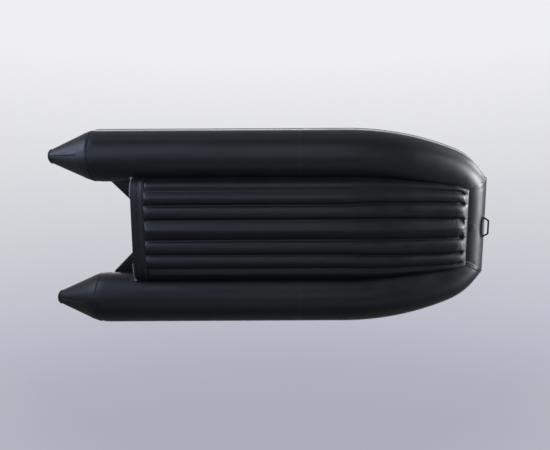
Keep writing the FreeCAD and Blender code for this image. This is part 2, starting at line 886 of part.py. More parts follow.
os.makedirs("parts", exist_ok=True)
for node_name, node_shape in sorted(build().items()):
    node_shape.exportStep(os.path.join("parts", node_name + ".step"))
    bounds = node_shape.BoundBox
    print(node_name, len(node_shape.Solids), node_shape.isValid(),
          round(bounds.XMin), round(bounds.XMax), round(bounds.YMin), round(bounds.YMax),
          round(bounds.ZMin, 1), round(bounds.ZMax, 1))
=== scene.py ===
import math
import bpy
import numpy as np
from mathutils import Matrix, Vector

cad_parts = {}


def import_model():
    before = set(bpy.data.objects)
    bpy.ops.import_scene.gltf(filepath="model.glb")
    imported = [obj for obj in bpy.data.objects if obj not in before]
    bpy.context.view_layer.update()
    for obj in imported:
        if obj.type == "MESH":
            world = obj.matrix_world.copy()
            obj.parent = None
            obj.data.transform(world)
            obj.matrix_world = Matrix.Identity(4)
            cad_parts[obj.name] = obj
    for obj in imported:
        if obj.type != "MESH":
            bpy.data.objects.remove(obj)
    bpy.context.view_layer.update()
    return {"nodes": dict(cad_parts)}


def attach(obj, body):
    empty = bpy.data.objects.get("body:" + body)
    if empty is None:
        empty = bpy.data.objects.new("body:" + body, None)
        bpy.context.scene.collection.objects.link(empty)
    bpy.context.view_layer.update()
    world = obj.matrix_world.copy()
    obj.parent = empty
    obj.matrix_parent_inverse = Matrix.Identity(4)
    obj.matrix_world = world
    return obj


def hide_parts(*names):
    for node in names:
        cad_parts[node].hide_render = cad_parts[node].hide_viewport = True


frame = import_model()

# Sizes, metres, as in the CAD
R = 0.206                       # tube radius
TUBE_Y, TUBE_Z = 0.588, 0.231   # port tube's axis
TIP_X = -1.7965
SEAM_X = TIP_X + 0.299
FULL_X = SEAM_X + 0.140
SEAM_R, TIP_R, CONE_L = 0.180, 0.052, 0.285
BULKHEAD_X = 0.2238
BOW_X = 1.5815
TILT = math.radians(18.5)
ARC_R, ARC_TURN = 2.2, math.radians(21.5)
CORNER_R, END_TURN = 0.370, math.radians(48.0)
RUN = 0.042

ARC_L = ARC_R * ARC_TURN
END_L = ARC_L + CORNER_R * (END_TURN - ARC_TURN)
BOW_START = (BOW_X - ARC_R * math.sin(ARC_TURN) - RUN * math.cos(END_TURN)
             - CORNER_R * (math.sin(END_TURN) - math.sin(ARC_TURN)))

STERN_S = SEAM_X - BOW_START
LAP_S = STERN_S + 0.076         # the front edge of the cone panel, glued over the tube
BULKHEAD_S = BULKHEAD_X - BOW_START


def v3(*p):
    return np.array(p, float)


def unit(a):
    return a / np.linalg.norm(a, axis=-1, keepdims=True)


def around(steps):
    """The angles of a ring's points."""
    return np.linspace(0, 2 * math.pi, steps, endpoint=False)


def quarter_round(t):
    """A quarter circle's rise, from 0 at t = 0 to 1 at t = 1 and beyond."""
    return np.sqrt(np.maximum(0, 1 - (1 - np.minimum(t, 1)) ** 2))


def bisected(is_below, low, high):
    """Where is_below turns false between low and high, for each number of an array."""
    lo, hi = np.broadcast_arrays(low, high)
    for _ in range(40):
        mid = (lo + hi) / 2
        below = is_below(mid)
        lo, hi = np.where(below, mid, lo), np.where(below, hi, mid)
    return (lo + hi) / 2


# The port tube's path


def path(s):
    """Axis point, heading and inboard direction at a distance along the port tube.
    s is 0 where the bow's arc starts and negative aft of it."""
    s = np.asarray(s, float)
    a = np.where(s <= 0, 0, np.where(s <= ARC_L, s / ARC_R, ARC_TURN + (s - ARC_L) / CORNER_R))
    a = np.minimum(a, END_TURN)
    a1, a2 = np.minimum(a, ARC_TURN), np.maximum(a, ARC_TURN)
    past = np.maximum(s - END_L, 0)
    adv = (np.minimum(s, 0) + ARC_R * np.sin(a1) + CORNER_R * (np.sin(a2) - math.sin(ARC_TURN))
           + past * math.cos(END_TURN))
    inb = (ARC_R * (1 - np.cos(a1)) + CORNER_R * (math.cos(ARC_TURN) - np.cos(a2))
           + past * math.sin(END_TURN))
    c, t = math.cos(TILT), math.sin(TILT)
    point = np.stack([BOW_START + adv, TUBE_Y - inb * c, TUBE_Z + inb * t], -1)
    head = np.stack([np.cos(a), -np.sin(a) * c, np.sin(a) * t], -1)
    inward = np.stack([-np.sin(a), -np.cos(a) * c, np.cos(a) * t], -1)
    return point, head, inward


PLANE_UP = v3(0, math.sin(TILT), math.cos(TILT))
MITRE, END_HEAD, _ = path(END_L + RUN)
MITRE_N = unit(END_HEAD - v3(0, 1, 0))
BOW_Y, BOW_Z = MITRE[1], MITRE[2]


def stern_radius(s):
    """The tube's radius, with the stern cone aft of its seam."""
    rise = R - SEAM_R
    blend = ((FULL_X - SEAM_X) ** 2 + rise ** 2) / (2 * rise)
    x = np.clip(FULL_X - (BOW_START + s), 0, FULL_X - SEAM_X)
    cone = np.maximum(STERN_S - s, 0) * (SEAM_R - TIP_R) / CONE_L
    return R - (blend - np.sqrt(blend ** 2 - x ** 2)) - cone


def pucker(s, phi, at, reach, depth, waves, seed):
    """Small folds that run away from a seam across the tube."""
    fade = np.exp(-np.abs(s - at) / reach)
    beat = 0.55 + 0.45 * np.sin(phi * 5 + seed)
    fold = np.sin(phi * waves + 1.7 * np.sin(phi * 3 + seed))
    return depth * fade * fold * beat


# Seams across the tube: place, reach of the folds, their depth, folds in a turn and seed
FOLDS = ((BULKHEAD_S, 0.05, 0.0006, 38, 1.0), (LAP_S, 0.04, 0.0013, 30, 2.0),
         (END_L + RUN, 0.06, 0.0011, 34, 3.0))


def gather(s):
    """The ridge of the cone's front seam: a long rise from aft and a short fall ahead."""
    ahead = s - LAP_S + 0.010
    return 0.0036 * np.exp(-(ahead / np.where(ahead < 0, 0.028, 0.008)) ** 2)


def tube_skin(s, phi, lift=0.0, fine=1.0):
    """Points of the port tube's skin. phi turns from outboard (0) over the top."""
    point, _, inward = path(s)
    r = stern_radius(s) + lift
    r = r - fine * 0.0016 * np.exp(-((s - BULKHEAD_S) / 0.022) ** 2)
    r = r + fine * (gather(s) + sum(pucker(s, phi, *fold) for fold in FOLDS))
    turn = phi + TILT
    c, d = np.cos(turn)[..., None], np.sin(turn)[..., None]
    return point + (PLANE_UP * d - inward * c) * r[..., None]


def corner_lift(dist, turn):
    """How far the skin is drawn in round the outer side of the bow corner."""
    return -0.007 * (0.5 + 0.5 * np.cos(turn)) ** 2 * np.exp(-(dist / 0.035) ** 2)


def mitre_s(phi, lift=0.0):
    """Where each lengthwise line of the port tube meets the mitre's plane."""
    start = np.full(np.shape(phi), END_L)
    return bisected(lambda s: (tube_skin(s, phi, lift, 0.0) - MITRE) @ MITRE_N < 0,
                    start - 0.30, start + 0.40)


def cross_skin(y_share, psi, lift=0.0, fine=1.0):
    """Points of the bow's cross tube. y_share runs from -1 to 1 between the mitres and psi turns
    from ahead (0) over the top."""
    r = R + lift
    end = cross_end(psi, lift)
    y = y_share * end
    r = r + fine * pucker(np.abs(y), psi, end, 0.05, 0.0011, 34, 4.0)
    return np.stack([BOW_X + r * np.cos(psi), y, BOW_Z + r * np.sin(psi)], -1)


def cross_end(psi, lift=0.0):
    """Half of the cross tube's length along each of its lines."""
    r = R + lift
    x, z = BOW_X + r * np.cos(psi), BOW_Z + r * np.sin(psi)
    return MITRE[1] - (MITRE_N[0] * (x - MITRE[0]) + MITRE_N[2] * (z - MITRE[2])) / MITRE_N[1]


# Mesh tools


def mesh_piece(name, verts, faces, material, smooth=True, uv=None):
    me = bpy.data.meshes.new(name)
    me.from_pydata([tuple(map(float, v)) for v in verts], [], [tuple(f) for f in faces])
    me.update()
    if uv is not None:
        layer = me.uv_layers.new(name="UVMap")
        idx = np.zeros(len(me.loops), int)
        me.loops.foreach_get("vertex_index", idx)
        layer.data.foreach_set("uv", np.asarray(uv, float)[idx].ravel())
    me.polygons.foreach_set("use_smooth", [smooth] * len(me.polygons))
    ob = bpy.data.objects.new(name, me)
    bpy.context.scene.collection.objects.link(ob)
    me.materials.append(material)
    return ob


def grid_faces(rows, cols, wrap=False, start=0, flip=False):
    faces = []
    for i in range(rows - 1):
        for j in range(cols if wrap else cols - 1):
            k = (j + 1) % cols
            f = [start + i * cols + j, start + i * cols + k,
                 start + (i + 1) * cols + k, start + (i + 1) * cols + j]
            faces.append(f[::-1] if flip else f)
    return faces


def shell_faces(rings, steps, first=True, last=True, flip=False):
    """Faces through closed rings of points, with the end rings filled in."""
    faces = grid_faces(rings, steps, True)
    if first:
        faces.append(list(range(steps))[::-1])
    if last:
        faces.append([(rings - 1) * steps + i for i in range(steps)])
    return [f[::-1] for f in faces] if flip else faces


def grid_piece(name, pts, material, wrap=False, flip=False, both=True):
    """A smooth surface over a grid of points, and its mirror image on the other side."""
    rows, cols = pts.shape[:2]
    du = np.linalg.norm(np.diff(pts[:, cols // 4], axis=0), axis=-1)
    dv = np.linalg.norm(np.diff(pts[rows // 2], axis=0), axis=-1)
    u = np.concatenate([[0], np.cumsum(du)])
    v = np.concatenate([[0], np.cumsum(dv)])
    uv = np.stack(np.broadcast_arrays(u[:, None], v[None, :]), -1).reshape(-1, 2)
    faces = grid_faces(rows, cols, wrap, 0, flip)
    ob = mesh_piece(name, pts.reshape(-1, 3), faces, material, True, uv)
    if not both:
        return ob
    other = pts * v3(1, -1, 1)
    twin = mesh_piece(name.replace("port", "starboard"), other.reshape(-1, 3),
                      grid_faces(rows, cols, wrap, 0, not flip), material, True, uv)
    return ob, twin


def joined(name, parts, material):
    """One mesh from several (verts, faces) parts."""
    verts, faces, n = [], [], 0
    for pv, pf in parts:
        verts.extend([tuple(p) for p in pv])
        faces.extend([tuple(i + n for i in f) for f in pf])
        n += len(pv)
    return mesh_piece(name, verts, faces, material)


def lathe(profile, centre, axis, steps=48, closed=True):
    """(verts, faces) turned from (radius, height) pairs about an axis."""
    axis = unit(v3(*axis))
    x = unit(np.cross(v3(0, 0, 1) if abs(axis[2]) < 0.9 else v3(1, 0, 0), axis))
    y = np.cross(axis, x)
    t = around(steps)[:, None]
    rings = [v3(*centre) + axis * h + (np.cos(t) * x + np.sin(t) * y) * r for r, h in profile]
    return list(np.concatenate(rings)), shell_faces(len(profile), steps, closed, closed)


def tube_along(points, radius, steps=12, up=(0, 0, 1)):
    """(verts, faces) of a round bar along points, with closed ends."""
    pts = np.asarray(points, float)
    tang = unit(np.gradient(pts, axis=0))
    side = unit(np.cross(tang, v3(*up)))
    high = np.cross(side, tang)
    verts = []
    for p, s, h, r in zip(pts, side, high, np.broadcast_to(radius, len(pts))):
        verts.extend(p + r * (np.cos(a) * s + np.sin(a) * h) for a in around(steps))
    return verts, shell_faces(len(pts), steps)


def round_corners(points, radius, steps=6):
    """A polyline with its inner corners rounded."""
    pts = [v3(*p) for p in points]
    out = [pts[0]]
    for a, b, c in zip(pts, pts[1:], pts[2:]):
        d1, d2 = unit(a - b), unit(c - b)
        half = math.acos(np.clip(d1 @ d2, -1, 1)) / 2
        cut = min(radius / math.tan(half), 0.45 * np.linalg.norm(a - b),
                  0.45 * np.linalg.norm(c - b))
        for k in range(steps + 1):
            w = k / steps
            out.append((b + d1 * cut) * (1 - w) ** 2 + 2 * w * (1 - w) * b
                       + (b + d2 * cut) * w ** 2)
    out.append(pts[-1])
    return np.array(out)


def prism(outline, low, high, frame_of, bevel):
    """(verts, faces) of a plate with bevelled edges, from a closed 2D outline that
    frame_of(x, y, height) places."""
    pts = np.array(outline, float)
    near = bevel * 0.29
    rings = [(bevel, low), (near, low + near), (0.0, low + bevel),
             (0.0, high - bevel), (near, high - near), (bevel, high)]
    prev, nxt = np.roll(pts, 1, 0), np.roll(pts, -1, 0)
    d1, d2 = unit(pts - prev), unit(nxt - pts)
    n1 = np.stack([-d1[:, 1], d1[:, 0]], -1)
    n2 = np.stack([-d2[:, 1], d2[:, 0]], -1)
    mid = n1 + n2
    inward = mid / np.maximum(1e-6, (mid * n1).sum(-1, keepdims=True))
    verts = []
    for inset, h in rings:
        verts.extend(frame_of(p[0], p[1], h) for p in pts + inward * inset)
    return verts, shell_faces(len(rings), len(pts))


def rounded_outline(points, radii, steps=6):
    """A closed counter-clockwise 2D outline with rounded corners."""
    out = []
    n = len(points)
    for i, (p, r) in enumerate(zip(points, radii)):
        b = np.array(p, float)
        a, c = np.array(points[i - 1], float), np.array(points[(i + 1) % n], float)
        if r <= 0:
            out.append(b)
            continue
        d1, d2 = unit(a - b), unit(c - b)
        half = math.acos(np.clip(d1 @ d2, -1, 1)) / 2
        cut = r / math.tan(half)
        centre = b + unit(d1 + d2) * r / math.sin(half)
        s, e = b + d1 * cut - centre, b + d2 * cut - centre
        t0, t1 = math.atan2(s[1], s[0]), math.atan2(e[1], e[0])
        turn = (t1 - t0 + math.pi) % (2 * math.pi) - math.pi
        for k in range(steps + 1):
            t = t0 + turn * k / steps
            out.append(centre + r * np.array([math.cos(t), math.sin(t)]))
    return out


def rounded_box(x0, y0, x1, y1, radius, steps=6):
    """A rectangle's outline between two corners, with its own corners rounded."""
    return rounded_outline([(x0, y0), (x1, y0), (x1, y1), (x0, y1)], [radius] * 4, steps)


def resampled(line, step):
    """The same polyline with its points about a step apart."""
    out = []
    for a, b in zip(line, line[1:]):
        n = max(1, int(np.linalg.norm(b - a) / step))
        out.extend(a + (b - a) * k / n for k in range(n))
    return np.array(out + [line[-1]])


def there_and_back(half):
    """A profile of (place, height) pairs from its first half, mirrored about place 0."""
    return half + [(-place, height) for place, height in reversed(half)]


def flipped(part):
    """The same part with its faces turned round."""
    verts, faces = part
    return verts, [f[::-1] for f in faces]


def mirror_part(part):
    verts, faces = flipped(part)
    return [v * v3(1, -1, 1) for v in verts], faces


def sided(parts):
    """The port parts with their starboard mirror images."""
    return parts + [mirror_part(p) for p in parts]


# Materials


def colour_at(k, tint=(1.0, 1.0, 1.0)):
    return tuple(k * t for t in tint) + (1.0,)


class Tree:
    """A node tree with a few shorthands."""

    def __init__(self, tree):
        self.tree = tree

    def add(self, kind, **values):
        node = self.tree.nodes.new(kind)
        for key, value in values.items():
            if key in node.inputs:
                node.inputs[key].default_value = value
            else:
                setattr(node, key, value)
        return node

    def link(self, a, b):
        self.tree.links.new(a, b)

    def feed(self, socket, value):
        """A number or colour goes on the socket itself, and an output is linked to it."""
        if isinstance(value, (int, float, tuple)):
            socket.default_value = value
        else:
            self.link(value, socket)

    def span(self, value, low, high, from_low=0.3, from_high=0.7):
        node = self.add("ShaderNodeMapRange")
        ends = {"From Min": from_low, "From Max": from_high, "To Min": low, "To Max": high}
        for socket, end in ends.items():
            node.inputs[socket].default_value = end
        self.link(value, node.inputs["Value"])
        return node.outputs["Result"]

    def ramp(self, value, stops):
        node = self.add("ShaderNodeValToRGB")
        elements = node.color_ramp.elements
        first, *middle, last = stops
        for index, (place, colour) in enumerate((first, last)):
            elements[index].position, elements[index].color = place, colour
        for place, colour in middle:
            elements.new(place).color = colour
        self.link(value, node.inputs["Fac"])
        return node.outputs["Color"]

    def mixed(self, factor, a, b, mode="MIX"):
        node = self.add("ShaderNodeMix", data_type="RGBA", blend_type=mode)
        for index, value in ((0, factor), (6, a), (7, b)):
            self.feed(node.inputs[index], value)
        return node.outputs[2]

    def maths(self, operation, a, b):
        node = self.add("ShaderNodeMath", operation=operation)
        self.feed(node.inputs[0], a)
        self.feed(node.inputs[1], b)
        return node.outputs[0]

    def shaders(self, factor, a, b):
        """Shader b over shader a, by the factor."""
        node = self.add("ShaderNodeMixShader")
        for index, value in enumerate((factor, a, b)):
            self.link(value, node.inputs[index])
        return node.outputs[0]


class Nodes(Tree):
    """A material's node tree round its own shader."""

    def __init__(self, name):
        self.mat = bpy.data.materials.new(name)
        self.mat.use_nodes = True
        super().__init__(self.mat.node_tree)
        self.bsdf = self.tree.nodes["Principled BSDF"]

    def noise(self, scale, detail=3.0, rough=0.5, stretch=None):
        place = self.add("ShaderNodeTexCoord").outputs["Object"]
        if stretch:
            mapping = self.add("ShaderNodeMapping", Scale=stretch)
            self.link(place, mapping.inputs["Vector"])
            place = mapping.outputs["Vector"]
        tex = self.add("ShaderNodeTexNoise", Scale=scale, Detail=detail, Roughness=rough)
        self.link(place, tex.inputs["Vector"])
        return tex.outputs["Fac"]

    def wave(self, scale, direction):
        coord = self.add("ShaderNodeTexCoord")
        tex = self.add("ShaderNodeTexWave", Scale=scale, bands_direction=direction)
        self.link(coord.outputs["UV"], tex.inputs["Vector"])
        return tex.outputs["Fac"]

    def bump(self, height, distance, strength=1.0, before=None):
        node = self.add("ShaderNodeBump", Distance=distance, Strength=strength)
        self.link(height, node.inputs["Height"])
        if before is not None:
            self.link(before, node.inputs["Normal"])
        return node.outputs["Normal"]

    def set(self, **values):
        for key, value in values.items():
            self.feed(self.bsdf.inputs[key.replace("_", " ")], value)
        return self


def coated_fabric(name, dark, light, tint, rough, uneven=0.0016):
    """PVC-coated fabric: soft gloss, a faint weave, dust and slow unevenness."""
    n = Nodes(name)
    cloud = n.noise(2.3, 4.0)
    dust = n.noise(34.0, 5.0, rough=0.65)
    base = n.ramp(cloud, [(0.3, colour_at(dark, tint)), (0.72, colour_at(light, tint))])
    specks = n.ramp(dust, [(0.0, colour_at(0.75)), (0.55, colour_at(1.0)), (1.0, colour_at(1.9))])
    base = n.mixed(0.5, base, specks, "MULTIPLY")
    normal = n.bump(n.noise(5.5, 2.0), uneven)
    cloth = n.mixed(0.5, n.wave(262.0, "X"), n.wave(262.0, "Y"), "MULTIPLY")
    normal = n.bump(cloth, 0.0001, 0.35, normal)
    normal = n.bump(dust, 0.0004, 0.5, normal)
    return n.set(Base_Color=base, Normal=normal, Specular_IOR_Level=0.45,
                 Roughness=n.span(n.noise(7.0, 4.0), rough - 0.05, rough + 0.07))


def moulding(name, dark, light, rough, grain=170.0, depth=0.0003, tint=(1, 1, 1)):
    """Moulded rubber or plastic: a fine grain and slightly rubbed high spots."""
    n = Nodes(name)
    wear = n.noise(9.0, 5.0, 0.6)
    base = n.ramp(wear, [(0.3, colour_at(dark, tint)), (0.75, colour_at(light, tint))])
    return n.set(Base_Color=base, Roughness=n.span(wear, rough - 0.06, rough + 0.08),
                 Normal=n.bump(n.noise(grain), depth, 0.6))


hull_cloth = coated_fabric("hull_cloth", 0.0072, 0.0098, (0.90, 1.0, 1.30), 0.41)
floor_cloth = coated_fabric("floor_cloth", 0.0072, 0.0098, (0.90, 1.0, 1.30), 0.41)
tape_cloth = coated_fabric("tape_cloth", 0.0085, 0.0120, (0.93, 1.0, 1.2), 0.38, 0.0006)
flap_cloth = coated_fabric("flap_cloth", 0.0068, 0.0095, (0.93, 1.0, 1.2), 0.45, 0.0008)
white_rubber = moulding("white_rubber", 0.62, 0.74, 0.42)
black_rubber = moulding("black_rubber", 0.006, 0.010, 0.6)
handle_rubber = moulding("handle_rubber", 0.004, 0.007, 0.7)
handle_rubber.set(Specular_IOR_Level=0.15)
soft_plastic = moulding("moulded_plastic", 0.022, 0.034, 0.4, 240.0, 0.0002)
# Pale grey bead: partly a trim's own colour and partly a painted highlight along the transom's foot
trim_plastic_and_painted_highlight = moulding("trim_plastic_and_painted_highlight", 0.26, 0.34, 0.45)
cap_rubber = moulding("cap_rubber", 0.032, 0.042, 0.5, tint=(0.95, 1.0, 1.12))
valve_plastic = moulding("valve_plastic", 0.03, 0.045, 0.35, 260.0, 0.0001)


def painted_board():
    """Black painted plywood with a drawn-out grain."""
    n = Nodes("painted_board")
    grain = n.noise(14.0, 6.0, 0.6, (1.0, 9.0, 1.0))
    wear = n.noise(11.0, 6.0, 0.65)
    base = n.ramp(wear, [(0.35, colour_at(0.017)), (0.8, colour_at(0.034, (1.05, 1.0, 0.95)))])
    return n.set(Base_Color=base, Roughness=n.span(wear, 0.38, 0.55),
                 Normal=n.bump(grain, 0.0006, 0.5))


def seat_board():
    """Dark grey textured seat board with a stippled, rubbed top."""
    n = Nodes("seat_board")
    coord = n.add("ShaderNodeTexCoord")
    dots = n.add("ShaderNodeTexVoronoi", Scale=150.0)
    n.link(coord.outputs["Object"], dots.inputs["Vector"])
    wear = n.noise(6.0, 6.0, rough=0.65)
    base = n.ramp(wear, [(0.3, colour_at(0.055, (1.0, 1.0, 1.04))),
                         (0.8, colour_at(0.095, (1.0, 1.0, 1.02)))])
    n.set(Base_Color=base, Roughness=n.span(wear, 0.45, 0.62),
          Normal=n.bump(dots.outputs["Distance"], 0.0006, 0.6))
    return n


def metal(name, level, rough, streak, tint=(1, 1, 1)):
    """Metal with fine drawn streaks."""
    n = Nodes(name)
    lines = n.noise(60.0, 4.0, stretch=streak)
    base = n.ramp(lines, [(0.3, colour_at(level * 0.9, tint)), (0.7, colour_at(level, tint))])
    return n.set(Base_Color=base, Roughness=n.span(lines, rough - 0.05, rough + 0.08),
                 Metallic=1.0, Normal=n.bump(lines, 0.0001, 0.3))


board_paint = painted_board()
seat_paint = seat_board()
steel = metal("steel", 0.62, 0.22, (1, 1, 6))
anodised = metal("anodised_tube", 0.60, 0.32, (0.05, 1, 1), (1.0, 1.01, 1.03))


def dress(name, material):
    """Gives a CAD node's object this material."""
    ob = frame["nodes"][name]
    ob.data.materials.clear()
    ob.data.materials.append(material.mat)
    return ob


def keep(obs, slot, *nodes, body="hull"):
    """Rides the pieces on a body and hides the nodes that they stand for. The slot is not used."""
    for ob in obs if isinstance(obs, (list, tuple)) else [obs]:
        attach(ob, body)
        if nodes:
            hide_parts(*nodes)
            nodes = ()


def keep_sides(pieces, slot, *nodes):
    """Keeps a port piece and its mirror image, each for the nodes of its own side."""
    for side, piece in zip(("port", "starboard"), pieces):
        keep(piece, slot, *(f"{side}_{node}" for node in nodes))


def keep_fitting(node, parts, look, slot):
    """Makes one piece of the port parts and their mirror images, for the node of both."""
    keep(joined(f"{node}_skin", sided(parts), look.mat), slot, node)


# Tubes and cones

PHI = around(96)
NEAR_MITRE = END_L - 0.26


def run_rows(stops):
    """Stations through (place, step) pairs: each step holds up to the next place."""
    out = []
    for (a, step), (b, _) in zip(stops, stops[1:]):
        count = max(1, round((b - a) / step))
        out.extend(a + (b - a) * k / count for k in range(count))
    out.append(stops[-1][0])
    return np.array(out)


rows = run_rows([(STERN_S, 0.005), (LAP_S + 0.02, 0.004), (STERN_S + 0.15, 0.05),
                 (BULKHEAD_S - 0.12, 0.005), (BULKHEAD_S + 0.12, 0.04), (0.0, 0.03),
                 (NEAR_MITRE, 0.03)])
ends = mitre_s(PHI, corner_lift(0.0, PHI))
share = 1 - (1 - np.linspace(0, 1, 32)[1:, None]) ** 1.35
tube_s = np.concatenate([np.repeat(rows[:, None], len(PHI), 1),
                         NEAR_MITRE + share * (ends - NEAR_MITRE)])
tube_pts = tube_skin(tube_s, np.broadcast_to(PHI, tube_s.shape), corner_lift(ends - tube_s, PHI))
keep_sides(grid_piece("port_tube_skin", tube_pts, hull_cloth.mat, True, True), "hull_fabric",
           "aft_tube", "bow_tube")

cone_s = np.linspace(STERN_S, TIP_X + 0.010 - BOW_START, 46)
cone_s = np.repeat(cone_s[:, None], len(PHI), 1)
cone_pts = tube_skin(cone_s, np.broadcast_to(PHI, cone_s.shape))
keep_sides(grid_piece("port_cone_skin", cone_pts, hull_cloth.mat, True), "hull_fabric",
           "stern_cone")

y_share = np.concatenate([np.linspace(-1, -0.86, 14)[:-1], np.linspace(-0.86, 0.86, 24),
                          np.linspace(0.86, 1, 14)[1:]])[:, None]
cross_pts = cross_skin(y_share, PHI, corner_lift((1 - np.abs(y_share)) * BOW_Y, PHI))
cross = grid_piece("bow_cross_skin", cross_pts, hull_cloth.mat, True, True, both=False)
keep(cross, "hull_fabric", "bow_cross_tube")

# Seam tapes


def ring_strip(name, at, cols, material):
    """A strip round the port tube through (distance from at, lift) pairs, and its mirror image."""
    places, lifts = np.array(cols).T
    shape = (len(PHI), len(cols))
    pts = tube_skin(np.broadcast_to(at + places, shape), np.broadcast_to(PHI[:, None], shape),
                    np.broadcast_to(lifts, shape))
    return grid_piece(name, np.concatenate([pts, pts[:1]]), material)


tape_cols = there_and_back([(-0.020, 0.0), (-0.0188, 0.0007), (-0.008, 0.0007)])
keep(ring_strip("port_bulkhead_tape", BULKHEAD_S, tape_cols, tape_cloth.mat), "hull_fabric")

# The cone's panel runs on over the tube, and its glued front edge is the seam that is seen
hem = [(STERN_S - LAP_S - 0.012, 0.0002)]
hem += [(place, 0.0012) for place in np.linspace(STERN_S - LAP_S + 0.004, -0.004, 15)]
hem += [(0.0, 0.0010), (0.0012, 0.0)]
keep(ring_strip("port_cone_hem", LAP_S, hem, hull_cloth.mat), "hull_fabric")


def mitre_tape():
    """The tape over the port bow corner, half on each tube."""
    half, lift = 0.021, 0.0009
    side = [(half, 0.0), (half - 0.0012, lift), (half * 0.5, lift), (0.0, lift)]
    on_tube = []
    for back, height in side:
        drawn = height + corner_lift(back, PHI)
        s = mitre_s(PHI, drawn) - back
        on_tube.append(tube_skin(s, PHI, drawn, 0.3))
    joint = on_tube[-1]
    psi = np.arctan2(joint[:, 2] - BOW_Z, joint[:, 0] - BOW_X)
    on_cross = []
    for back, height in side[::-1][1:]:
        r = R + height + corner_lift(back, psi)
        y = cross_end(psi, r - R) - back
        on_cross.append(np.stack([BOW_X + r * np.cos(psi), y, BOW_Z + r * np.sin(psi)], -1))
    pts = np.stack(on_tube + on_cross, 1)
    return grid_piece("port_mitre_tape", np.concatenate([pts, pts[:1]]), tape_cloth.mat)


keep(mitre_tape(), "hull_fabric")


def cone_lap():
    """The lengthwise lap of the cone's panel, on its lower side."""
    cols = [(-0.012, 0.0), (-0.011, 0.0011), (0.011, 0.0011), (0.012, 0.0)]
    s = np.linspace(STERN_S - 0.02, TIP_X + 0.02 - BOW_START, 30)
    pts = np.array([[tube_skin(k, -1.45 + d / 0.12, h, 0.4) for d, h in cols] for k in s])
    return grid_piece("port_cone_lap", pts, tape_cloth.mat)


keep(cone_lap(), "hull_fabric")

# Rubbing strake

END_SLANT = math.atan2(-END_HEAD[1], END_HEAD[0])
CORNER_Y = BOW_Y + R * (1 - math.sin(END_SLANT)) / math.cos(END_SLANT)
SLAB_TILT = math.atan2(BOW_Z - TUBE_Z, TUBE_Y + R - CORNER_Y)
STRAKE_S = TIP_X + 0.369 - BOW_START


def strake_phi(s, v, lift):
    """The turn round the tube at a height v above the strake's own line."""

    def is_below(turn):
        p = tube_skin(s, turn, lift, 0.0)
        rise = ((p[..., 1] - TUBE_Y - R) * math.sin(SLAB_TILT)
                + (p[..., 2] - TUBE_Z) * math.cos(SLAB_TILT))
        return rise < v

    return bisected(is_below, np.full(np.shape(s), -0.9), 1.3)


def strake_end(v, lift):
    """Where the strake's line at height v meets the mitre."""
    s = np.full(np.shape(v), END_L + RUN)
    for _ in range(25):
        s = mitre_s(strake_phi(s, v, lift), lift)
    return s


def strake(name, profile, material, start, nose):
    """A strip along the port tube: profile gives (height v, lift) pairs from below to above."""
    v, lift = np.array(profile).T
    last = strake_end(v, lift)
    first = run_rows([(start, 0.004), (start + nose, 0.04), (0.0, 0.03), (NEAR_MITRE, 0.03)])
    near = np.linspace(0, 1, 18)[1:, None]
    s = np.concatenate([np.repeat(first[:, None], len(v), 1),
                        NEAR_MITRE + near * (last[None, :] - NEAR_MITRE)])
    t = np.clip((s - start) / nose, 0, 1)
    vv = v * (0.25 + 0.75 * quarter_round(t))
    ll = lift * np.clip(t * 8, 0, 1)
    return grid_piece(name, tube_skin(s, strake_phi(s, vv, ll), ll, 0.25), material)


def bow_strake(name, profile, material):
    """The same strip across the bow, between the mitres."""
    v, lift = np.array(profile).T
    psi = np.arcsin(v / (R + lift))
    y = np.linspace(-1, 1, 60)[:, None] * cross_end(psi, lift)[None, :]
    r = (R + lift)[None, :]
    pts = np.stack([BOW_X + r * np.cos(psi) + 0 * y, y, BOW_Z + r * np.sin(psi) + 0 * y], -1)
    return grid_piece(name, pts, material, both=False, flip=True)


band_profile = there_and_back([(-0.068, -0.001), (-0.068, 0.0025), (-0.0665, 0.004),
                               (-0.052, 0.0042), (-0.050, 0.0034), (-0.048, 0.0042),
                               (-0.018, 0.0042), (-0.0135, 0.004)])
ridge_profile = there_and_back([(-0.0145, 0.003), (-0.014, 0.0065), (-0.012, 0.0085),
                                (-0.006, 0.009), (-0.0045, 0.0082), (-0.003, 0.009)])
STRAKES = (("strake_band", band_profile, white_rubber, "strake_white", STRAKE_S, 0.09),
           ("strake_ridge", ridge_profile, black_rubber, "black_rubber", STRAKE_S + 0.012, 0.05))
for node, profile, look, slot, start, nose in STRAKES:
    keep_sides(strake(f"port_{node}_skin", profile, look.mat, start, nose), slot, node)
for node, profile, look, slot, _, _ in STRAKES:
    keep(bow_strake(f"bow_{node}_skin", profile, look.mat), slot, f"bow_{node}")

# Inflatable floor

SEAM_TURN = math.radians(55.0)
FLOOR_LAP = 0.004
KEEL_BASE, THICK, TOP_BULGE = 0.045, 0.090, 0.020
FRONT_X, FRONT_Z, FRONT_Y = BOW_X - 0.005, BOW_Z - R - FLOOR_LAP, BOW_Y - 0.0115
KEEL_RISE_X = BOW_START - 0.073
BAND_AFT_X = TIP_X + 0.692
BAND_FORE_X = BAND_AFT_X + 0.098
VALLEYS = np.array([0.195, 0.478, 0.745, 1.0])
FRONT_VALLEYS = np.array([0.23, 0.61, 0.87, 1.0])
CRESTS = np.array([0.0, 0.010, 0.014, 0.052])
SEAM_SHARES = ((0, 1.0), (5.0, 0.98), (9.0, 0.92), (12.5, 0.84), (16.0, 0.73), (19.0, 0.6),
               (21.5, 0.48), (30.0, 0.36), (38.0, 0.24), (48.0, 0.08))


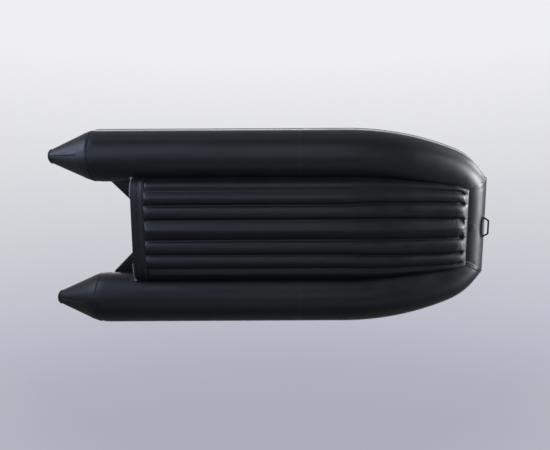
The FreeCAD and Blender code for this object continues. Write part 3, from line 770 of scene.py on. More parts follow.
def seam_place(degrees, part):
    """Where the floor meets the port tube."""
    a = math.radians(degrees)
    s = ARC_R * a if a <= ARC_TURN else ARC_L + CORNER_R * (a - ARC_TURN)
    centre, head, _ = path(s)
    inward = unit(np.cross(head, v3(0, 0, 1)))
    inward = inward if inward[1] < 0 else -inward
    down = unit(np.cross(head, inward))
    down = down if down[2] < 0 else -down
    turn = SEAM_TURN * part
    return centre + (R + FLOOR_LAP) * (inward * math.sin(turn) + down * math.cos(turn))


def smooth_curve(x, xs, ys):
    """A monotone cubic through the points, held flat past both ends."""
    xs, ys = np.asarray(xs, float), np.asarray(ys, float)
    h, d = np.diff(xs), np.diff(ys) / np.diff(xs)
    m = np.zeros(len(xs))
    for i in range(1, len(xs) - 1):
        if d[i - 1] * d[i] > 0:
            w1, w2 = 2 * h[i] + h[i - 1], h[i] + 2 * h[i - 1]
            m[i] = (w1 + w2) / (w1 / d[i - 1] + w2 / d[i])
    m[-1] = d[-1]
    x = np.clip(x, xs[0], xs[-1])
    k = np.clip(np.searchsorted(xs, x) - 1, 0, len(h) - 1)
    t = (x - xs[k]) / h[k]
    return ((2 * t ** 3 - 3 * t ** 2 + 1) * ys[k] + (t ** 3 - 2 * t ** 2 + t) * h[k] * m[k]
            + (3 * t ** 2 - 2 * t ** 3) * ys[k + 1] + (t ** 3 - t ** 2) * h[k] * m[k + 1])


_seam = np.array([seam_place(a, p) for a, p in SEAM_SHARES])
_seam_x = np.concatenate([[BAND_AFT_X - 0.1], _seam[:, 0], [FRONT_X]])
_seam_y = np.concatenate([[_seam[0, 1]], _seam[:, 1], [FRONT_Y]])
_seam_z = np.concatenate([[_seam[0, 2]], _seam[:, 2], [FRONT_Z]])
EDGE_Y = _seam[0, 1]


def keel_base(x):
    t = np.clip((x - KEEL_RISE_X) / (FRONT_X - KEEL_RISE_X), 0, 1)
    return KEEL_BASE + (FRONT_Z - KEEL_BASE) * t ** 2


def bottom_base(x, part):
    base = keel_base(x)
    return base + (smooth_curve(x, _seam_x, _seam_z) - base) * np.abs(part) ** 8


def valleys_at(x):
    t = np.clip((x - BOW_START) / (FRONT_X - BOW_START), 0, 1)[..., None]
    return VALLEYS + (FRONT_VALLEYS - VALLEYS) * t


def first_depths():
    z = [bottom_base(np.array(BAND_FORE_X), s) for s in VALLEYS]
    inner = [z[0]] + z[:-1]
    return np.array([(a + b) / 2 - c for a, b, c in zip(inner, z, CRESTS)])


DEPTHS = first_depths()
WIDTHS = EDGE_Y * np.diff(np.concatenate([[-VALLEYS[0]], VALLEYS]))
PER_RIB = 18
BEAM_END = FRONT_X - 0.060      # where the floor's inner beams stop at the bow
ROLL_X = FRONT_X - 0.105        # where the ribs start to round off at the bow
AFT_END = 0.075                 # length of the ribs' rounded aft ends


def smooth_step(t):
    t = np.clip(t, 0, 1)
    return t * t * (3 - 2 * t)


def arc_bulge(u, depth, half):
    """A circular arc's sag: 1 in the middle (u = 0) and 0 at u = -1 and 1."""
    depth = np.maximum(depth, 1e-5)
    r = (depth ** 2 + half ** 2) / (2 * depth)
    return (np.sqrt(np.maximum(0, r ** 2 - (u * half) ** 2)) - (r - depth)) / depth


def ridge_bulge(u):
    """The middle rib's keel: two straight flanks that meet in a tight round."""
    return 1 - (np.sqrt(u * u + 0.006) - math.sqrt(0.006)) / (math.sqrt(1.006) - math.sqrt(0.006))


def floor_surface(x, top):
    """Rows of points across the floor at stations x, port to starboard."""
    edge_y = smooth_curve(x, _seam_x, _seam_y)
    v = valleys_at(x)
    sides = np.concatenate([v[:, ::-1], -v], 1)
    depths = np.concatenate([DEPTHS[::-1], DEPTHS[1:]])
    widths = np.concatenate([WIDTHS[::-1], WIDTHS[1:]])
    t_aft = np.clip((x - BAND_FORE_X) / AFT_END, 0, 1)
    full = np.sqrt(np.maximum(0, 1 - (1 - t_aft) ** 2.2))
    t_end = np.clip((x - ROLL_X) / (FRONT_X - ROLL_X), 0, 1)
    roll = np.sqrt(np.maximum(0, 1 - t_end ** 1.8))
    swell = 0.016 * smooth_step((x - FRONT_X + 0.42) / 0.33) * roll
    merge = smooth_step((x - BEAM_END) / 0.026)
    rows = []
    for i in range(7):
        a, b = sides[:, i] * edge_y, sides[:, i + 1] * edge_y
        half = (a - b) / 2
        size = 2 * half / widths[i]
        count = PER_RIB if i < 6 else PER_RIB + 1
        for k in range(count):
            w = k / PER_RIB
            u = 1 - 2 * w
            y = a + (b - a) * w
            part = y / edge_y
            line = bottom_base(x, part)
            chord = (1 - w) * bottom_base(x, sides[:, i]) + w * bottom_base(x, sides[:, i + 1])
            if top:
                depth = TOP_BULGE * np.minimum(1, size)
                sag = arc_bulge(u, depth, half)
                front = 1 - smooth_step((x - (FRONT_X - 0.10)) / 0.10)
                z = keel_base(x) + THICK + depth * sag * full * (0.25 + 0.75 * front)
                z = z + wrinkle(x, y, w, 1.0) * 0.6 * full
            else:
                depth = depths[i] * size
                shape = arc_bulge(u, depth, half)
                if i == 3:
                    shape = 0.3 * shape + 0.7 * ridge_bulge(u)
                elif i in (0, 1, 5, 6):
                    soft = 0.55 if i in (0, 6) else 0.25
                    shape = (1 - soft) * shape + soft * (0.5 + 0.5 * np.cos(math.pi * u))
                rib = depth * shape * full * roll
                common = 0.82 * depth * np.maximum(arc_bulge(u * 0.62, depth, half), 0)
                common = common * roll
                body = chord + (line - chord) * merge
                z = body - (rib * (1 - merge) + common * merge)
                z = z - swell * (1 - np.abs(part) ** 6)
                z = z - wrinkle(x, y, w, 0.0) * full * (1 - 0.5 * merge)
                z = z + dimple(x, w)
            rows.append(np.stack([x, y, z], -1))
    return np.stack(rows, 1)


def wrinkle(x, y, w, seed):
    """Short folds across the ribs beside their sewn valleys."""
    beside = np.minimum(w, 1 - w)
    fade = np.exp(-beside / 0.12)
    side_shift = 40.0 * np.round(y * 7)
    beat = 0.5 + 0.5 * np.sin(x * 5.1 + side_shift + seed)
    fold = np.sin(x * 128 + 2.3 * np.sin(x * 17 + side_shift) + side_shift)
    near_end = np.exp(-np.abs(x - BEAM_END) / 0.07) + 0.8 * np.exp(-(x - BAND_FORE_X) / 0.06)
    return fold * fade * (0.0006 * beat + 0.0014 * near_end)


def dimple(x, w):
    """The pull at the end of each inner beam, just short of the bow."""
    beside = np.minimum(w, 1 - w)
    along = (x - BEAM_END - 0.004) / 0.020
    return 0.008 * np.exp(-along ** 2) * np.exp(-(beside / 0.07) ** 2)


floor_x = run_rows([(BAND_FORE_X - 0.002, 0.004), (BAND_FORE_X + AFT_END, 0.012),
                    (BAND_FORE_X + 0.3, 0.02), (BEAM_END - 0.12, 0.006), (BEAM_END - 0.02, 0.003),
                    (FRONT_X, 0.0025)])
under = grid_piece("floor_underside", floor_surface(floor_x, False), floor_cloth.mat, both=False,
                   flip=True)
top_x = run_rows([(BAND_FORE_X - 0.062, 0.02), (BAND_FORE_X, 0.004),
                  (BAND_FORE_X + AFT_END, 0.012), (BAND_FORE_X + 0.3, 0.02),
                  (FRONT_X - 0.14, 0.008), (FRONT_X, 0.008)])
over = grid_piece("floor_topside", floor_surface(top_x, True), floor_cloth.mat, both=False)
keep([under, over], "floor_fabric", "inflatable_floor")


def foot_strip():
    """The flat band under the transom's foot, its seam to the ribs and its aft hem."""
    cols = np.linspace(1, -1, 73)
    x_rows = [(BAND_AFT_X + 0.001, 0.0010), (BAND_AFT_X, -0.0030), (BAND_AFT_X + 0.001, -0.0048),
              (BAND_AFT_X + 0.003, -0.0052), (BAND_AFT_X + 0.012, -0.0052),
              (BAND_AFT_X + 0.0135, -0.0044), (BAND_AFT_X + 0.015, -0.0050),
              (BAND_AFT_X + 0.05, -0.0048), (BAND_FORE_X - 0.018, -0.0050),
              (BAND_FORE_X - 0.017, -0.0062), (BAND_FORE_X + 0.006, -0.0064),
              (BAND_FORE_X + 0.008, -0.0030), (BAND_FORE_X + 0.009, 0.0020)]
    ref = np.array(BAND_AFT_X)
    pts = []
    for x, drop in x_rows:
        sag = 0.0008 * np.sin(cols * 23.0 + x * 60) * (1 - abs(x - BAND_AFT_X - 0.05) / 0.06)
        pts.append([[x, c * EDGE_Y, bottom_base(ref, abs(c)) + drop + s]
                    for c, s in zip(cols, sag)])
    return grid_piece("floor_foot_strip", np.array(pts), floor_cloth.mat, both=False, flip=True)


keep(foot_strip(), "floor_fabric", "floor_aft_band")


def floor_lap():
    """The glued lap where the floor's edge lies on the port tube."""
    x = run_rows([(BAND_AFT_X, 0.03), (BOW_START, 0.02), (FRONT_X - 0.02, 0.02)])
    y, z = smooth_curve(x, _seam_x, _seam_y), smooth_curve(x, _seam_x, _seam_z)
    edge = np.stack([x, y, z], -1)

    def is_below(s):
        p, head, _ = path(s)
        return ((edge - p) * head).sum(-1) > 0

    s = bisected(is_below, np.full(len(x), STERN_S), END_L + 0.2)
    p, _, inward = path(s)
    d = edge - p
    turn = np.arctan2((d * PLANE_UP).sum(-1), -(d * inward).sum(-1))
    side = np.stack([tube_skin(s, turn - TILT - w / R, h, 0.5) for w, h in
                     [(0.030, -0.0002), (0.0288, 0.0010), (0.010, 0.0011), (-0.012, 0.0011)]], 1)
    return grid_piece("port_floor_lap", side, tape_cloth.mat)


keep(floor_lap(), "floor_fabric")

# Bow handle and patch


HANDLE_TURN = math.radians(45)


def bow_spot(r, along, across):
    """A point round the bow: r from the cross tube's axis, along is to port, and across is the
    distance above the handle's own line."""
    psi = -HANDLE_TURN
    out, rise = v3(math.cos(psi), 0, math.sin(psi)), v3(-math.sin(psi), 0, math.cos(psi))
    return v3(BOW_X, along, BOW_Z) + out * r + rise * across


def handle_base():
    """The moulded base strip of the bow handle, with two long grooves and rounded ends."""
    half_l, half_h, lift = 0.090, 0.022, 0.007
    y = run_rows([(-half_l, 0.002), (-half_l + 0.014, 0.012), (half_l - 0.014, 0.002),
                  (half_l, 0.002)])
    across = [(-1.0, -0.001), (-1.0, 0.5), (-0.93, 1.0), (-0.55, 1.0), (-0.5, 0.7), (-0.45, 1.0),
              (0.0, 1.0), (0.45, 1.0), (0.5, 0.7), (0.55, 1.0), (0.93, 1.0), (1.0, 0.5),
              (1.0, -0.001)]
    pts = []
    for k in y:
        end = np.clip((half_l - abs(k)) / 0.014, 0, 1)
        wide = half_h * (0.55 + 0.45 * quarter_round(end))
        rise = lift * min(1, end * 4)
        row = []
        for a, b in across:
            r = R + rise * b
            row.append(bow_spot(math.sqrt(r ** 2 - (a * wide) ** 2), k, a * wide))
        pts.append(row)
    return np.array(pts)


base_piece = grid_piece("bow_handle_base_skin", handle_base(), black_rubber.mat, both=False,
                        flip=True)
keep(base_piece, "black_rubber", "bow_handle_base")


def handle_loop():
    """The rubber grip loop: a thick bar with a moulded hand grip and flared feet."""
    foot, grip = R - 0.002, R + 0.052 - 0.007
    line = round_corners([(foot, -0.077), (R + 0.010, -0.0745), (grip, -0.054), (grip, 0.054),
                          (R + 0.010, 0.0745), (foot, 0.077)], 0.012)
    dense = resampled(line, 0.004)
    near_foot = np.exp(-((dense[:, 0] - foot) / 0.010) ** 2)
    ribs = 0.0004 * np.sin(dense[:, 1] * 900) * (np.abs(dense[:, 1]) < 0.046)
    radius = 0.0067 + 0.0040 * near_foot + ribs
    line = [bow_spot(r, y, 0.0) for r, y in dense]
    return tube_along(line, radius, 20)


keep(joined("bow_handle_loop_skin", [handle_loop()], handle_rubber.mat), "black_rubber",
     "bow_handle_loop")


def bow_patch():
    """A round reinforcing patch on the cross tube's underside, with its glued edge."""
    centre_psi = -math.radians(90 - 12)
    pts = []
    for r, h in ((0.0001, 0.0026), (0.009, 0.0027), (0.016, 0.0024), (0.023, 0.0022),
                 (0.0287, 0.0020), (0.030, 0.0012), (0.0304, -0.0002)):
        row = []
        for t in np.linspace(0, 2 * math.pi, 49):
            psi = centre_psi + r * math.sin(t) / R
            row.append((BOW_X + (R + h) * math.cos(psi), r * math.cos(t),
                        BOW_Z + (R + h) * math.sin(psi)))
        pts.append(row)
    return np.array(pts)


keep(grid_piece("bow_patch_skin", bow_patch(), tape_cloth.mat, both=False, flip=True),
     "floor_fabric", "bow_patch")

# Stern tip caps


def tip_cap():
    """A moulded cone end: a domed rim, a groove and a shallow dished middle."""
    profile = [(0.0002, 0.0042), (0.020, 0.0038), (0.026, 0.0028), (0.029, 0.0012),
               (0.033, 0.0001), (0.038, 0.0002), (0.0425, 0.0014), (0.0462, 0.0036),
               (0.0490, 0.0066), (0.0510, 0.0098), (0.0522, 0.0125), (0.0526, 0.0150),
               (0.0572, 0.0152), (0.0590, 0.0160), (0.0580, 0.0180)]
    return lathe([(r, -h) for r, h in profile][::-1], (TIP_X, TUBE_Y, TUBE_Z), (-1, 0, 0), steps=64)


keep_fitting("stern_tip_caps", [tip_cap()], cap_rubber, "black_rubber")

# Transom

RAKE = math.radians(10)
TRANSOM_X = BAND_AFT_X + 0.015
BOARD = 0.030


AHEAD = v3(math.cos(RAKE), 0, math.sin(RAKE))
UP_BOARD = v3(-math.sin(RAKE), 0, math.cos(RAKE))
TOP_Z = TUBE_Z + R
PAD_TOP, PAD = TOP_Z - 0.013, 0.009


def on_transom(y, z, depth):
    """A point by height and by depth ahead of the raked board's aft face."""
    return v3(TRANSOM_X, y, KEEL_BASE) + UP_BOARD * (z - KEEL_BASE) + AHEAD * depth


def skin_offset(z):
    """How far the tube's inner skin lies from its axis at a height."""
    return math.sqrt(R ** 2 - (z - TUBE_Z) ** 2)


def skin_z(y, lift=0.0):
    """The height of the tube's upper skin at a distance from the boat's middle."""
    return TUBE_Z + math.sqrt((R + lift) ** 2 - (y - TUBE_Y) ** 2)


def board_piece():
    """The board is the CAD's own, painted and with its edges rounded a little."""
    ob = dress("transom_board", board_paint)
    bevel = ob.modifiers.new("edges", "BEVEL")
    bevel.width, bevel.segments, bevel.limit_method = 0.0035, 3, "ANGLE"
    bevel.angle_limit = math.radians(50)


board_piece()


def pad(aft):
    """A motor pad: a plate with rounded corners and ribs across it."""
    low = PAD_TOP - 0.190
    face, sign = (0.0, -1) if aft else (BOARD, 1)

    def place(y, z, h):
        return on_transom(y, z, face + sign * h)

    plate = prism(rounded_box(-0.150, low, 0.150, PAD_TOP, 0.009), 0.0, PAD, place, 0.0015)
    parts = [plate if aft else flipped(plate)]
    for z in np.linspace(low + 0.022, PAD_TOP - 0.022, 9):
        rib = rounded_box(-0.118, z - 0.004, 0.118, z + 0.004, 0.0038, 4)
        parts.append(prism(rib, 0.0085, 0.0112, place, 0.0008))
    return parts


def screws(spots, depth, out):
    """Pan heads standing on a face of the transom."""
    head = [(0.006, 0.0), (0.00582, 0.0012), (0.0042, 0.0028), (0.0018, 0.0033), (0.0002, 0.0034)]
    return [lathe(head, on_transom(y, z, depth), AHEAD * out, steps=24) for y, z in spots]


for aft, label in ((True, "outer"), (False, "inner")):
    keep(joined(f"transom_{label}_pad_skin", pad(aft), soft_plastic.mat), "moulded_plastic",
         f"transom_{label}_pad")
corners = [(y, z) for y in (-0.135, 0.135) for z in (PAD_TOP - 0.175, PAD_TOP - 0.015)]
heads = screws(corners, -PAD, -1) + screws(corners, BOARD + PAD, 1)
keep(joined("transom_pad_screws", heads, steel.mat), "stainless_steel")


def drain(y):
    """A drain: a flanged sleeve through the board, held by three rivets."""
    c = on_transom(y, 0.165, 0.0)
    flange = [(0.013, 0.034), (0.013, -0.006), (0.0155, -0.0066), (0.0290, -0.0062),
              (0.0325, -0.0052), (0.034, -0.0030), (0.034, 0.0), (0.019, 0.0005), (0.019, 0.0300),
              (0.0255, 0.0302), (0.0255, 0.0335), (0.0245, 0.0345), (0.013, 0.0345)]
    parts = [lathe(flange, c, AHEAD, closed=False)]
    for k in range(3):
        a = 2 * math.pi * k / 3 + 0.5
        spot = c + (v3(0, math.cos(a), 0) + UP_BOARD * math.sin(a)) * 0.0255 - AHEAD * 0.006
        parts.append(lathe([(0.0032, 0.0), (0.0028, 0.0014), (0.0003, 0.0019)], spot, -AHEAD,
                           steps=16))
    return parts


keep(joined("drain_valves_skin", drain(0.205) + drain(-0.205), soft_plastic.mat),
     "moulded_plastic", "drain_valves")


def towing_eye():
    """A bow-shaped bolt on an oval plate with two nuts."""
    c = on_transom(0.300, 0.235, 0.0)
    leg = UP_BOARD * 0.0205
    parts = [prism(rounded_box(-0.017, -0.029, 0.017, 0.029, 0.0165, 8), 0.0, 0.004,
                   lambda a, b, h: c + v3(0, a, 0) + UP_BOARD * b - AHEAD * h, 0.0008)]
    arc = [c - AHEAD * (0.004 + 0.026 * math.sin(k)) + leg * math.cos(k)
           for k in np.linspace(0, math.pi, 25)]
    parts.append(tube_along([c + leg + AHEAD * 0.002] + arc + [c - leg + AHEAD * 0.002],
                            0.0045, 14, (0, 1, 0)))
    nut = [(0.0088, 0.004), (0.0088, 0.0085), (0.0075, 0.0095), (0.0048, 0.0096)]
    return parts + [lathe(nut, c + leg * k, -AHEAD, steps=6) for k in (-1, 1)]


keep_fitting("towing_eyes", towing_eye(), steel, "stainless_steel")


def profile_flap():
    """The rubber holder between the board and the port tube: two glued flaps and a raised rib."""
    start_x = TRANSOM_X + BOARD / 2 - 0.048 - (TUBE_Z - KEEL_BASE) * math.tan(RAKE)
    cols = [(0.0, 0.0003), (0.0012, 0.0018), (0.008, 0.0024), (0.022, 0.0035), (0.030, 0.0075),
            (0.036, 0.0110), (0.048, 0.0118), (0.060, 0.0110), (0.066, 0.0075), (0.074, 0.0035),
            (0.088, 0.0024), (0.0948, 0.0018), (0.096, 0.0003)]
    low, high = math.radians(-90 - 52), math.radians(-90 - 146)
    pts = []
    for t in np.linspace(low, high, 60):
        tuck = quarter_round(min(abs(t - low), abs(t - high)) / 0.045)
        row = []
        for d, h in cols:
            r = R + h * tuck + 0.0001
            row.append((start_x + d, TUBE_Y + r * math.cos(t), TUBE_Z + r * math.sin(t)))
        pts.append(row)
    return np.array(pts)


keep_sides(grid_piece("port_transom_profile_skin", profile_flap(), black_rubber.mat, flip=True),
           "black_rubber", "transom_profile")

KNEE_Z, KNEE_L = 0.322, 0.217


def knee():
    """A fabric-covered corner knee behind the transom, with a welt along its free edge."""
    face = TRANSOM_X - (KNEE_Z - KEEL_BASE) * math.tan(RAKE)
    wall = TUBE_Y - skin_offset(KNEE_Z)
    outline = rounded_outline([(face + 0.004, wall + 0.012), (face - KNEE_L, wall + 0.012),
                               (face - KNEE_L, wall - 0.006), (face - 0.006, wall - KNEE_L),
                               (face + 0.004, wall - KNEE_L)], [0.0, 0.0, 0.003, 0.003, 0.0])
    plate = flipped(prism(outline, KNEE_Z + 0.0005, KNEE_Z + 0.0155, v3, 0.003))
    start = v3(face - 0.214, wall - 0.0085, KNEE_Z + 0.008)
    end = v3(face - 0.0065, wall - 0.216, KNEE_Z + 0.008)
    return [plate, tube_along(np.linspace(start, end, 30), 0.0062)]


keep_fitting("transom_knees", knee(), flap_cloth, "floor_fabric")


def foot_trim_and_painted_highlight():
    """A pale bead on the board's lower aft edge beside the port tube, with a round cap. Its pale
    grey is partly a trim's own colour and partly a painted highlight along the edge.
    """
    y = np.linspace(EDGE_Y - 0.004, EDGE_Y - 0.150, 24)
    z = [bottom_base(np.array(BAND_AFT_X), abs(k) / EDGE_Y) for k in y]
    line = [v3(BAND_AFT_X - 0.002, a, b - 0.001) for a, b in zip(y, z)]
    cap = lathe([(0.0002, 0.011), (0.005, 0.0105), (0.0085, 0.0085), (0.0105, 0.005),
                 (0.011, 0.0), (0.0105, -0.004)][::-1], line[0], (0, 0, -1), steps=24)
    return [tube_along(line, 0.0045, 12), cap]


keep(joined("transom_foot_trim", sided(foot_trim_and_painted_highlight()), trim_plastic_and_painted_highlight.mat), "strake_white")

# Fittings on the tubes

RAIL_Y, RAIL_TOP = TUBE_Y - R + 0.033, TOP_Z - 0.051
RAIL_AFT, RAIL_FORE = TRANSOM_X + 0.2845, BOW_START + 0.047
RAIL_L = RAIL_FORE - RAIL_AFT


def seat_rail():
    """The moulded rail: a T on a glued base flange, with long grooves."""
    foot = [(-0.012, -0.019), (-0.0125, -0.016), (0.001, 0.003)]
    head = [(0.0005, -0.014), (0.0022, -0.012), (0.0, -0.010), (0.0, -0.0018), (0.0018, 0.0),
            (0.007, 0.0), (0.0078, -0.0012), (0.0092, -0.0012), (0.010, 0.0), (0.019, 0.0),
            (0.0198, -0.0012), (0.0212, -0.0012), (0.022, 0.0)]
    foot_z = skin_z(RAIL_Y)
    section = [(RAIL_Y + y, foot_z + z) for y, z in foot]
    section += [(RAIL_Y + y, RAIL_TOP + z) for y, z in head]
    section.append((TUBE_Y - skin_offset(RAIL_TOP) + 0.004, RAIL_TOP - 0.0006))
    pts = []
    for x in run_rows([(RAIL_AFT, 0.003), (RAIL_AFT + 0.015, 0.05), (RAIL_FORE - 0.015, 0.003),
                       (RAIL_FORE, 0.003)]):
        drop = 0.012 * (1 - quarter_round(min(x - RAIL_AFT, RAIL_FORE - x) / 0.015))
        pts.append([(x, y, z - drop * (z > RAIL_TOP - 0.02)) for y, z in section])
    return np.array(pts)


keep_sides(grid_piece("port_seat_rail_skin", seat_rail(), black_rubber.mat, flip=True),
           "black_rubber", "seat_rail")


def rail_ends():
    """Flat closing faces at the rails' two ends."""
    rows = seat_rail()
    face = [list(range(rows.shape[1]))]
    return [(list(rows[0]), face), flipped((list(rows[-1]), face))]


keep(joined("seat_rail_ends", sided(rail_ends()), black_rubber.mat), "black_rubber")


def seat(share_along, name):
    """A seat board with a rounded edge and a raised tread pattern."""
    x0 = RAIL_AFT + share_along * RAIL_L
    half_x, half_y = 0.120, RAIL_Y + 0.028
    z0 = RAIL_TOP + 0.0003
    board = rounded_box(x0 - half_x, -half_y, x0 + half_x, half_y, 0.030, 8)
    parts = [flipped(prism(board, z0, z0 + 0.0225, v3, 0.004))]
    for k in range(-9, 10):
        y = k * 0.042
        bar = rounded_box(x0 - 0.088, y - 0.006, x0 + 0.088, y + 0.006, 0.0058, 4)
        parts.append(flipped(prism(bar, z0 + 0.022, z0 + 0.0238, v3, 0.0008)))
    return joined(name, parts, seat_paint.mat), x0, z0


RIVET = [(0.0075, 0.0), (0.0072, 0.0008), (0.0050, 0.0014), (0.0003, 0.0015)]
for seat_name, share_along in (("aft_seat", 0.274), ("fore_seat", 0.788)):
    ob, seat_x, seat_z = seat(share_along, seat_name + "_skin")
    keep(ob, "seat_ply", seat_name, body=seat_name)
    heads = [lathe(RIVET, (seat_x + x, y, seat_z + 0.0223), (0, 0, 1), steps=24)
             for x in (-0.09, 0.09) for y in (-0.425, 0.425)]
    keep(joined(seat_name + "_rivets", heads, steel.mat), "stainless_steel", body=seat_name)


def tube_spot(x, angle, height):
    """A point over the port tube's skin, by its angle inboard of the top."""
    reach = R + height
    return v3(x, TUBE_Y - reach * math.sin(angle), TUBE_Z + reach * math.cos(angle))


def skin_disc(x, angle, profile):
    """(verts, faces) of a patch that lies on the tube, from (radius, height) pairs."""
    verts = []
    for r, h in profile:
        verts.extend(tube_spot(x + r * math.cos(k), angle + r * math.sin(k) / R, h)
                     for k in around(48))
    return verts, shell_faces(len(profile), 48, first=False, flip=True)


CARRY_X, CARRY_A = TIP_X + 0.4915, math.radians(40)


def carry_handle():
    """A moulded grip: a thick flat-bottomed bar that flares into two oval pads."""
    out = v3(0, -math.sin(CARRY_A), math.cos(CARRY_A))
    f0 = tube_spot(CARRY_X - 0.095, CARRY_A, 0.001)
    f1 = tube_spot(CARRY_X + 0.095, CARRY_A, 0.001)
    lean = v3(0.019, 0, 0)
    line = round_corners([f0, f0 + out * 0.036 + lean, f1 + out * 0.036 - lean, f1], 0.022, 8)
    dense = resampled(line, 0.004)
    height = (dense - f0) @ out
    ribs = 0.0005 * np.sin(dense[:, 0] * 700) * (np.abs(dense[:, 0] - CARRY_X) < 0.05)
    radius = 0.0088 + 0.0075 * np.exp(-(height / 0.010) ** 2) + ribs
    bar = tube_along(dense, radius, 20, tuple(out))
    pads = [skin_disc(x, CARRY_A, [(0.0345, -0.0002), (0.034, 0.0016), (0.0325, 0.0030),
                                   (0.026, 0.0036), (0.019, 0.0046), (0.012, 0.0060)])
            for x in (CARRY_X - 0.095, CARRY_X + 0.095)]
    return [bar] + pads


keep_fitting("carry_handles", carry_handle(), black_rubber, "black_rubber")

VALVE_A = math.radians(18)


def air_valve(x):
    """An air valve: a glued skirt, a threaded collar and a cap with a ribbed rim."""
    out = v3(0, -math.sin(VALVE_A), math.cos(VALVE_A))
    c = tube_spot(x, VALVE_A, 0.0)
    skirt = skin_disc(x, VALVE_A, [(0.036, -0.0004), (0.0357, 0.0022), (0.0345, 0.0034),
                                   (0.031, 0.0040), (0.029, 0.0058), (0.0285, 0.0085)])
    collar = lathe([(0.0300, 0.0), (0.0300, 0.0078), (0.0290, 0.0090), (0.0262, 0.0090),
                    (0.0255, 0.0078), (0.0245, 0.0076)], c, out, steps=64)
    t = around(96)
    x_dir = v3(1, 0, 0)
    y_dir = np.cross(out, x_dir)
    verts = []
    rings = [(0.0240, 0.0040, 0.0), (0.0240, 0.0090, 1.0), (0.0240, 0.0140, 1.0),
             (0.0225, 0.0156, 0.4), (0.0190, 0.0160, 0.0), (0.0165, 0.0150, 0.0),
             (0.0120, 0.0150, 0.0), (0.0060, 0.0156, 0.0), (0.0002, 0.0157, 0.0)]
    for r, h, rib in rings:
        rr = r - 0.0007 * rib * (0.5 + 0.5 * np.sign(np.sin(t * 24)))
        verts.extend(c + out * h + (np.cos(t)[:, None] * x_dir
                                    + np.sin(t)[:, None] * y_dir) * rr[:, None])
    cap = (verts, grid_faces(len(rings), 96, True))
    grip = prism(rounded_box(-0.015, -0.003, 0.015, 0.003, 0.0028, 4), 0.0145, 0.0160,
                 lambda a, b, h: c + x_dir * a + y_dir * b + out * h, 0.0004)
    return [skirt, collar, cap, grip]


valves = air_valve(TIP_X + 0.8115) + air_valve(BOW_START + 0.027)
keep_fitting("air_valves", valves, valve_plastic, "moulded_plastic")

# Rowlocks and oars

PIN_X = RAIL_AFT + 0.52 * RAIL_L
PIN_Y = TUBE_Y + 0.060
LOCK_TOP = TOP_Z + 0.015
OAR_Z = LOCK_TOP + 0.040
OAR_TIP, OAR_END = PIN_X - 1.020, PIN_X + 0.480
BLADE_ROOT, GRIP_START = OAR_TIP + 0.430, OAR_END - 0.125


def rowlock_base():
    """A moulded boss on a glued skirt."""
    rings = [(0.0580, None, 0.0004), (0.0575, None, 0.0022), (0.0550, None, 0.0036),
             (0.0470, None, 0.0046), (0.0400, None, 0.0075), (0.0350, None, 0.0130),
             (0.0330, LOCK_TOP - 0.010, 0), (0.0318, LOCK_TOP - 0.004, 0),
             (0.0290, LOCK_TOP - 0.0012, 0), (0.0250, LOCK_TOP - 0.0004, 0),
             (0.0180, LOCK_TOP - 0.0002, 0), (0.0160, LOCK_TOP - 0.0018, 0),
             (0.0100, LOCK_TOP - 0.0018, 0)]
    verts = []
    for r, z, h in rings:
        for k in around(72):
            x, y = PIN_X + r * math.cos(k), PIN_Y + r * math.sin(k)
            skin = skin_z(y, h)
            verts.append(v3(x, y, skin if z is None else max(z, skin + 0.001)))
    return verts, shell_faces(len(rings), 72, first=False)


keep_fitting("rowlock_bases", [rowlock_base()], black_rubber, "black_rubber")


def rowlock_pin():
    """A steel pin with a washer under the collar and a domed cap nut."""
    cap = OAR_Z + 0.027 + 0.0015
    pin = lathe([(0.0078, 0.0), (0.0078, cap - LOCK_TOP + 0.001)],
                (PIN_X, PIN_Y, LOCK_TOP - 0.002), (0, 0, 1), steps=32)
    nut = lathe([(0.0140, 0.0), (0.0150, 0.0004), (0.0150, 0.0014), (0.0140, 0.0018),
                 (0.0115, 0.0018), (0.0112, 0.0042), (0.0080, 0.0056), (0.0030, 0.0060),
                 (0.0003, 0.0060)], (PIN_X, PIN_Y, cap), (0, 0, 1), steps=36)
    washer = lathe([(0.0135, 0.0), (0.0145, 0.0004), (0.0145, 0.0012), (0.0135, 0.0016),
                    (0.0090, 0.0016)], (PIN_X, PIN_Y, LOCK_TOP - 0.0002), (0, 0, 1), steps=36)
    return [pin, nut, washer]


keep_fitting("rowlock_pins", rowlock_pin(), steel, "stainless_steel")


def oar_rest():
    """A moulded saddle that carries the stowed oar."""
    x0 = PIN_X - 0.580
    top = OAR_Z - 0.016 - 0.005
    pts = []
    for k in np.linspace(-1, 1, 25):
        x = x0 + 0.030 * k
        row = []
        for w in np.linspace(-1, 1, 33):
            y = PIN_Y + 0.026 * w
            skin = skin_z(y)
            edge = quarter_round((1 - max(abs(w), abs(k))) / 0.10)
            saddle = 0.010 * math.exp(-(w / 0.62) ** 4)
            z = skin + 0.0005 + (top - saddle - skin) * edge
            row.append((x, y, z))
        pts.append(row)
    pts = np.array(pts)
    return list(pts.reshape(-1, 3)), grid_faces(25, 33)


keep_fitting("oar_rests", [oar_rest()], black_rubber, "black_rubber")


def turned_oar(profile, steps):
    """(verts, faces) turned about the oar's axis from (x, radius) pairs."""
    t = around(steps)
    verts = []
    for x, r in profile:
        verts.extend(np.stack([np.full(steps, x), PIN_Y + r * np.cos(t), OAR_Z + r * np.sin(t)],
                              -1))
    return verts, shell_faces(len(profile), steps, flip=True)


def loom():
    """The tube, with a fine groove where its two lengths meet."""
    split = PIN_X - 0.36
    profile = [(BLADE_ROOT - 0.040, 0.0157), (split - 0.0006, 0.0157), (split - 0.0003, 0.0152),
               (split + 0.0003, 0.0152), (split + 0.0006, 0.0159), (GRIP_START, 0.0159)]
    return [turned_oar(profile, 40)]


